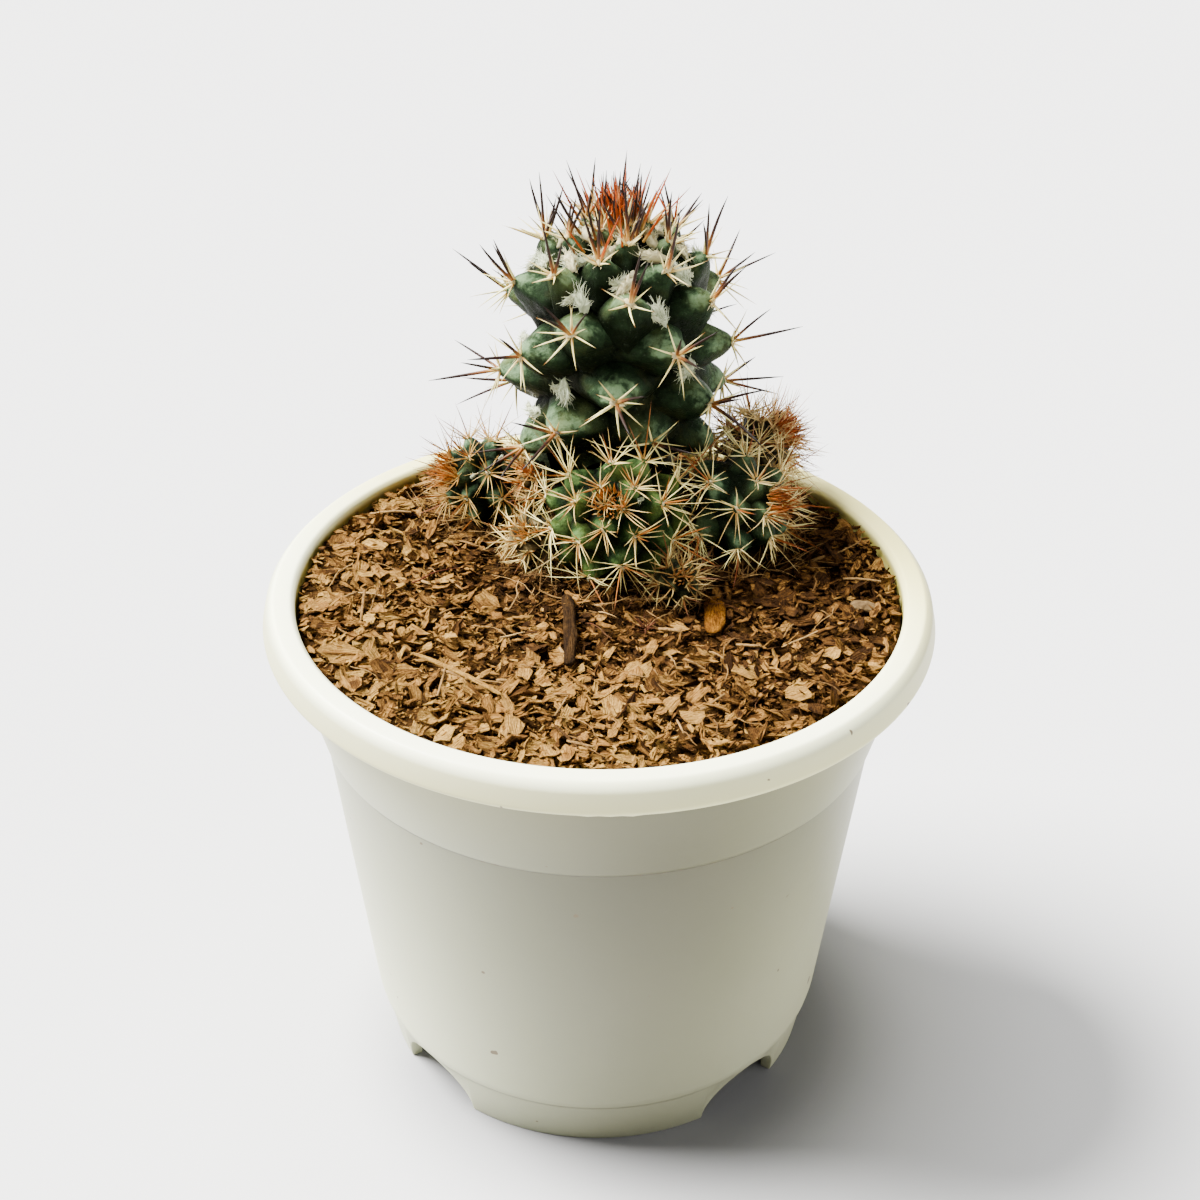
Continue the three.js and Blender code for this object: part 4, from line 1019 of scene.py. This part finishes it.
def free_share(others, roots, ways, lengths):
    """How much of each straight spine stays clear of the other heads, the soil and the outside of the rim."""
    parts = np.linspace(0.12, 1, 12)
    points = roots[:, None] + ways[:, None] * (lengths[:, None] * parts)[:, :, None]
    blocked = points[:, :, 2] < SOIL_LEVEL + 1.1 + soil_rise(points[:, :, 0], points[:, :, 1])
    blocked |= np.hypot(points[:, :, 0], points[:, :, 1]) > SPINE_REACH
    for other in others:
        blocked |= outside_of(other, points) < -0.35 * other.tubercle
    first = np.where(blocked.any(1), blocked.argmax(1), len(parts))
    return np.concatenate([[0], parts])[first]


def areole_spines(head, place, rng, looks):
    """The radial and central spines on one tubercle's tip."""
    grown = []
    side, up, out, top = place.side, place.up, place.out, place.top
    young = 1 - place.age
    pad = min(0.75, 0.12 * place.size)
    count = max(5, int(round(looks.radials + rng.integers(-1, 2) - 2 * young)))
    turn = rng.uniform(0, TAU)
    for k in range(count):
        angle = turn + (k + 0.35 * rng.uniform(-1, 1)) / count * TAU
        across = math.cos(angle) * side + math.sin(angle) * up
        way = unit(across + out * (0.12 + 0.6 * rng.uniform() + 1.4 * young) + rng.normal(0, looks.stray, 3))
        length = rng.uniform(0.76 - looks.stray, 1.04 + looks.stray) * (1 - 0.25 * young)
        length = length * (1 - 0.16 * math.sin(angle))
        grown.append((
            top + across * pad * 0.8 - out * 0.15, way, looks.reach * head.radial_length * length,
            looks.radial_thick * rng.uniform(0.85, 1.15),
            min(0.5, 0.05 * rng.uniform() + looks.rust * young**looks.fade * rng.uniform(0.1, 0.6)),
            rng.uniform(), rng.normal(0, 0.02 + 0.3 * looks.stray, 3) - out * 0.05))
    high = smooth_step(98, 122, top[2])
    for k in range(looks.centrals + (1 if rng.uniform() < 0.6 else 0)):
        tilt = 0.1 + 0.5 * rng.uniform() - head.droop * place.age if k == 0 else 0.25 + 0.5 * rng.uniform()
        tilt = tilt + 0.6 * high
        sway = 0.5 * (rng.uniform() - 0.5) if k == 0 else (0.9 if k % 2 else -0.9) * rng.uniform(0.4, 1)
        length = looks.long * head.central_length * rng.uniform(0.8, 1.08) * (1 - 0.3 * young)
        length = length * (1 if k == 0 else 0.8)
        grown.append((
            top - out * 0.15 + side * 0.25 * sway * pad, unit(out + up * tilt + side * sway), length,
            looks.central_thick * rng.uniform(0.85, 1.1),
            looks.central_kind if rng.uniform() > 0.4 * young**3 * looks.rust else rng.uniform(0.5, 0.75),
            rng.uniform(), rng.normal(0, 0.05, 3) - up * 0.04))
    return grown


def crown_spines(head, side, rng, looks):
    """The tight brush on the crown and, on the stem, a fan of dark spines round it."""
    grown = []
    axis, front = head.axis, np.cross(side, head.axis)
    crown = head.origin + axis * head.tips[0][0]
    for k in range(looks.crown):
        away = looks.crown_width * math.sqrt((k + 0.5) / looks.crown)
        across = side * math.sin(k * DIVERGENCE) + front * math.cos(k * DIVERGENCE)
        inner = away < 0.88 * looks.crown_width
        grown.append((
            crown + across * away - axis * (0.6 + 0.05 * away**2),
            unit(axis + across * 0.09 * away + rng.normal(0, 0.12, 3)),
            looks.crown_length * rng.uniform(0.55, 1.05), (0.04 + looks.radial_thick) * rng.uniform(0.9, 1.2),
            rng.uniform(0.42, 0.56) if inner else rng.choice([0.05, 0.3, 0.6, 1.0]),
            rng.uniform(), rng.normal(0, 0.05, 3)))
    for k in range(looks.fan):
        turn, lean = k * DIVERGENCE, rng.uniform(0.15, 1.0)
        across = side * math.sin(turn) + front * math.cos(turn)
        grown.append((
            crown + across * (looks.crown_width + 5 * lean) - axis * (1.2 + 4.5 * lean**2),
            unit(axis + across * (0.1 + 0.9 * lean) + rng.normal(0, 0.1, 3)),
            head.central_length * rng.uniform(0.58, 0.9), looks.central_thick * rng.uniform(0.68, 0.92),
            1.0 if k % 3 else 0.62, rng.uniform(), rng.normal(0, 0.04, 3)))
    return grown


def add_spines(skin, head, others, places, rng, looks):
    """All spines of a head, cut short or left out where something is in their way.

    Each one is grown as its root, way, length, thickness, kind (see spine_material), shade and bend.
    """
    grown = []
    for place in places:
        squeezed = np.linalg.norm(place.top - place.base) < 0.45 * place.depth
        if not (place.pressed and place.depth > 0.5 and squeezed):
            grown += areole_spines(head, place, rng, looks)
    grown += crown_spines(head, places[0].side, rng, looks)
    roots, ways, lengths, thick, kinds, shades, bends = map(np.array, zip(*grown))
    if looks.fan:
        over = roots[:, 2] + lengths * ways[:, 2] - SPINE_TOP
        lengths = lengths - np.where(over > 0, over / np.maximum(ways[:, 2], 0.2), 0)
    share = free_share(others, roots, ways, lengths)
    lengths = lengths * share
    roots, ways, lengths, thick, kinds, shades, bends = (
        each[share > 0.4] for each in (roots, ways, lengths, thick, kinds, shades, bends))
    steps = 6 if looks.fan else 5
    t = np.linspace(0, 1, steps)
    knots = np.linspace(0, 1, 6)
    kinds = kinds[:, None]
    taper = np.interp(t, knots, [1.0, 0.94, 0.76, 0.55, 0.31, 0.04])
    taper = taper + kinds**2 * np.interp(t, knots, [0, 0.03, 0.13, 0.22, 0.22, 0.04])
    add_tubes(skin, bent(roots, ways, lengths, bends, steps), thick[:, None] * taper, steps - 1,
              tinted(t, kinds, shades[:, None]))


def add_wool(skin, centre, out, rng, size, hairs, shade):
    """A matted patch of wool: a lumpy heart, wider than deep, under short hairs that are combed one way."""
    rings, around = (9, 14) if hairs > 60 else (6, 8)
    polar = np.linspace(0.02, math.pi - 0.02, rings)[:, None]
    turn = circle_turns(around)[None]
    ball = np.stack([np.sin(polar) * np.cos(turn), np.sin(polar) * np.sin(turn), np.cos(polar) + 0 * turn], -1)
    comb = rng.choice([-2, 2]) * np.array([-out[1], out[0], 0]) + rng.normal(0, 1, 3)
    comb = unit(comb - out * (comb @ out))
    thin = np.cross(out, comb)

    def shaped(way):
        lumps = 0.75 + 0.5 * noise_at(way * size + centre, 0.4 * size, 8)
        flat = way * (lumps * size)[:, None]
        flat = flat - np.outer(flat @ out, out) * 0.45
        flat = flat - np.outer(flat @ thin, thin) * 0.25
        return centre + flat + np.outer(flat @ comb, comb) * 0.7, lumps

    points, lumps = shaped(ball.reshape(-1, 3))
    points[:, 2] = np.maximum(points[:, 2], WOOL_FLOOR)
    skin.add(points, tinted(np.clip(0.3 + 0.8 * (lumps - 0.75), 0, 1), shade, 0), grid_faces(rings, around))

    way = unit(rng.normal(0, 1, (hairs, 3)) + 0.5 * out)
    start = centre + 0.85 * (shaped(way)[0] - centre)
    length = size * rng.uniform(0.35, 1.3, hairs)
    course = unit(0.6 * way + 0.95 * comb + rng.normal(0, 0.32, (hairs, 3)))
    paths = bent(start, course, length, rng.normal(0, 0.3, (hairs, 3)), 3)
    paths[:, :, 2] = np.maximum(paths[:, :, 2], WOOL_FLOOR)
    radii = 0.05 * np.array([1.0, 0.8, 0.15]) * rng.uniform(0.7, 1.3, hairs)[:, None]
    add_tubes(skin, paths, radii, 3, tinted(0.35 + 0.6 * np.linspace(0, 1, 3), shade, 0))


def add_place_wool(skin, place, rng, looks):
    """The felt of an areole, the tufts in the axil beneath it and, near the stem's crown, wool behind it."""
    if not place.pressed:
        pad = looks.pad * min(1, 0.16 * place.size)
        add_wool(skin, place.top - place.out * 0.1, place.out, rng, pad, looks.felt, 0.55)
    woolly = rng.uniform() < looks.wool * (1 if place.age < 0.98 else 0.7)
    if woolly and not place.pressed and place.age > 0.45:
        axil = place.base + place.up * 0.5 * place.size + place.out * 0.35 * place.depth
        axil = axil + place.side * rng.uniform(-0.12, 0.12) * place.size
        outward = unit(place.out + 0.3 * place.up)
        size = looks.tuft_length * rng.uniform(0.75, 1.15)
        add_wool(skin, axil, outward, rng, size, looks.tuft, 0.0)
        if looks.tuft > 60:
            beside = axil + place.side * rng.choice([-1, 1]) * 0.9 * size + outward * 0.2
            add_wool(skin, beside, outward, rng, 0.6 * size, looks.tuft // 2, 0.1)
    if 1 - place.age > 0.35 and looks.fan:
        behind = place.out * 0.5 * place.depth + place.up * max(1, 0.45 * place.size)
        add_wool(skin, place.base + behind, place.out, rng, looks.tuft_length * 1.05, looks.tuft // 2, 0.4)


def make_head(name, heads, skin_look, spine_look, wool_look, looks):
    head, looks = heads[name], SimpleNamespace(**looks)
    others = [other for key, other in heads.items() if key != name]
    rng = np.random.default_rng(SEED + sum(map(ord, name)))
    places = shape_places(head, others)
    skin, spines, wool = Skin(), Skin(), Skin()
    add_core(skin, head)
    for place in places:
        add_tubercle(skin, place, rng, looks)
    add_spines(spines, head, others, places, rng, looks)
    for place in places:
        add_place_wool(wool, place, rng, looks)
    slot = "offset_skin" if head.core else "stem_skin"
    skin.object(name + "_skin", skin_look, slot, name)
    spines.object(name + "_spines", spine_look, slot, name)
    wool.object(name + "_wool", wool_look, slot, name)


def make_heads(heads):
    wool = wool_material()
    skins = {name: skin_material(name, *colours) for name, colours in SKINS.items()}
    spines = {name: spine_material(name, *colours) for name, colours in SPINES.items()}
    for name, (skin, spine, looks) in DRESSES.items():
        make_head(name, heads, skins[skin], spines[spine], wool, looks)


# Stage


def make_floor():
    size = 5
    corners = [(-size, -size, 0), (size, -size, 0), (size, size, 0), (-size, size, 0)]
    mesh = bpy.data.meshes.new("floor")
    mesh.from_pydata(corners, [], [(0, 1, 2, 3)])
    look = Look("pale_floor")
    # painted shade: the floor's colour and glow are darkest right by the pot
    place = look.nodes.new("ShaderNodeTexCoord").outputs["Object"]
    away = look.node("VectorMath", {0: place, 1: (6 * MM, -8 * MM, 0)}, "Value", operation="DISTANCE")

    def spread(reach, least, most):
        return look.node("MapRange", {
            "Value": away, "From Min": 0.8 * FOOT_RADIUS * MM, "From Max": reach * FOOT_RADIUS * MM,
            "To Min": least, "To Max": most}, interpolation_type="SMOOTHSTEP")

    mesh.materials.append(look.shaded({
        "Emission Color": (1, 1, 1), "Emission Strength": spread(2.4, 0.0, 0.5),
        "Base Color": spread(1.5, 0.18, 0.48), "Roughness": 0.9, "Specular IOR Level": 0.1}))
    placed("floor", mesh)


def make_stage():
    make_floor()
    world = Look("studio", bpy.data.worlds)
    # past the floor's edge the camera sees the floor's own brightness
    seen = world.node("LightPath", {}, "Is Camera Ray")
    strength = world.math("MULTIPLY_ADD", seen, 4.1, 0.32)
    world.fill(world.nodes["Background"], {"Color": (1, 1, 1), "Strength": strength})
    bpy.context.scene.world = world.owner

    lights = {  # direction, strength, degrees across and colour
        "sun": ((0.8, -0.24, -1), 32.5, 32, (1, 0.99, 0.97)),
        "fill": ((-1, 0.35, -0.09), 4.8, 70, (1, 1, 1)),
    }
    for name, (way, energy, across, colour) in lights.items():
        light = bpy.data.lights.new(name, "SUN")
        light.energy = energy
        light.angle = math.radians(across)
        light.color = colour
        placed(name, light).rotation_euler = Vector(way).to_track_quat("-Z", "Y").to_euler()

    # the camera that was fitted to the photo
    camera = placed("camera", bpy.data.cameras.new("camera"))
    camera.data.sensor_width = 36
    camera.data.lens = 60
    camera.data.clip_start = 0.01
    right = Vector((0.999962482, 0.00441369, 0.00745339))
    up = Vector((-0.00865663, 0.54004983, 0.84158853))
    back = Vector((-0.00031069, -0.84162147, 0.54006777))
    place = Matrix((right, up, back)).transposed().to_4x4()
    place.translation = Vector((0, -0.256995, 0.24458))
    camera.matrix_world = place
    bpy.context.scene.camera = camera


heads = describe_heads()
make_stage()
make_pot()
make_soil(heads)
make_litter()
make_heads(heads)
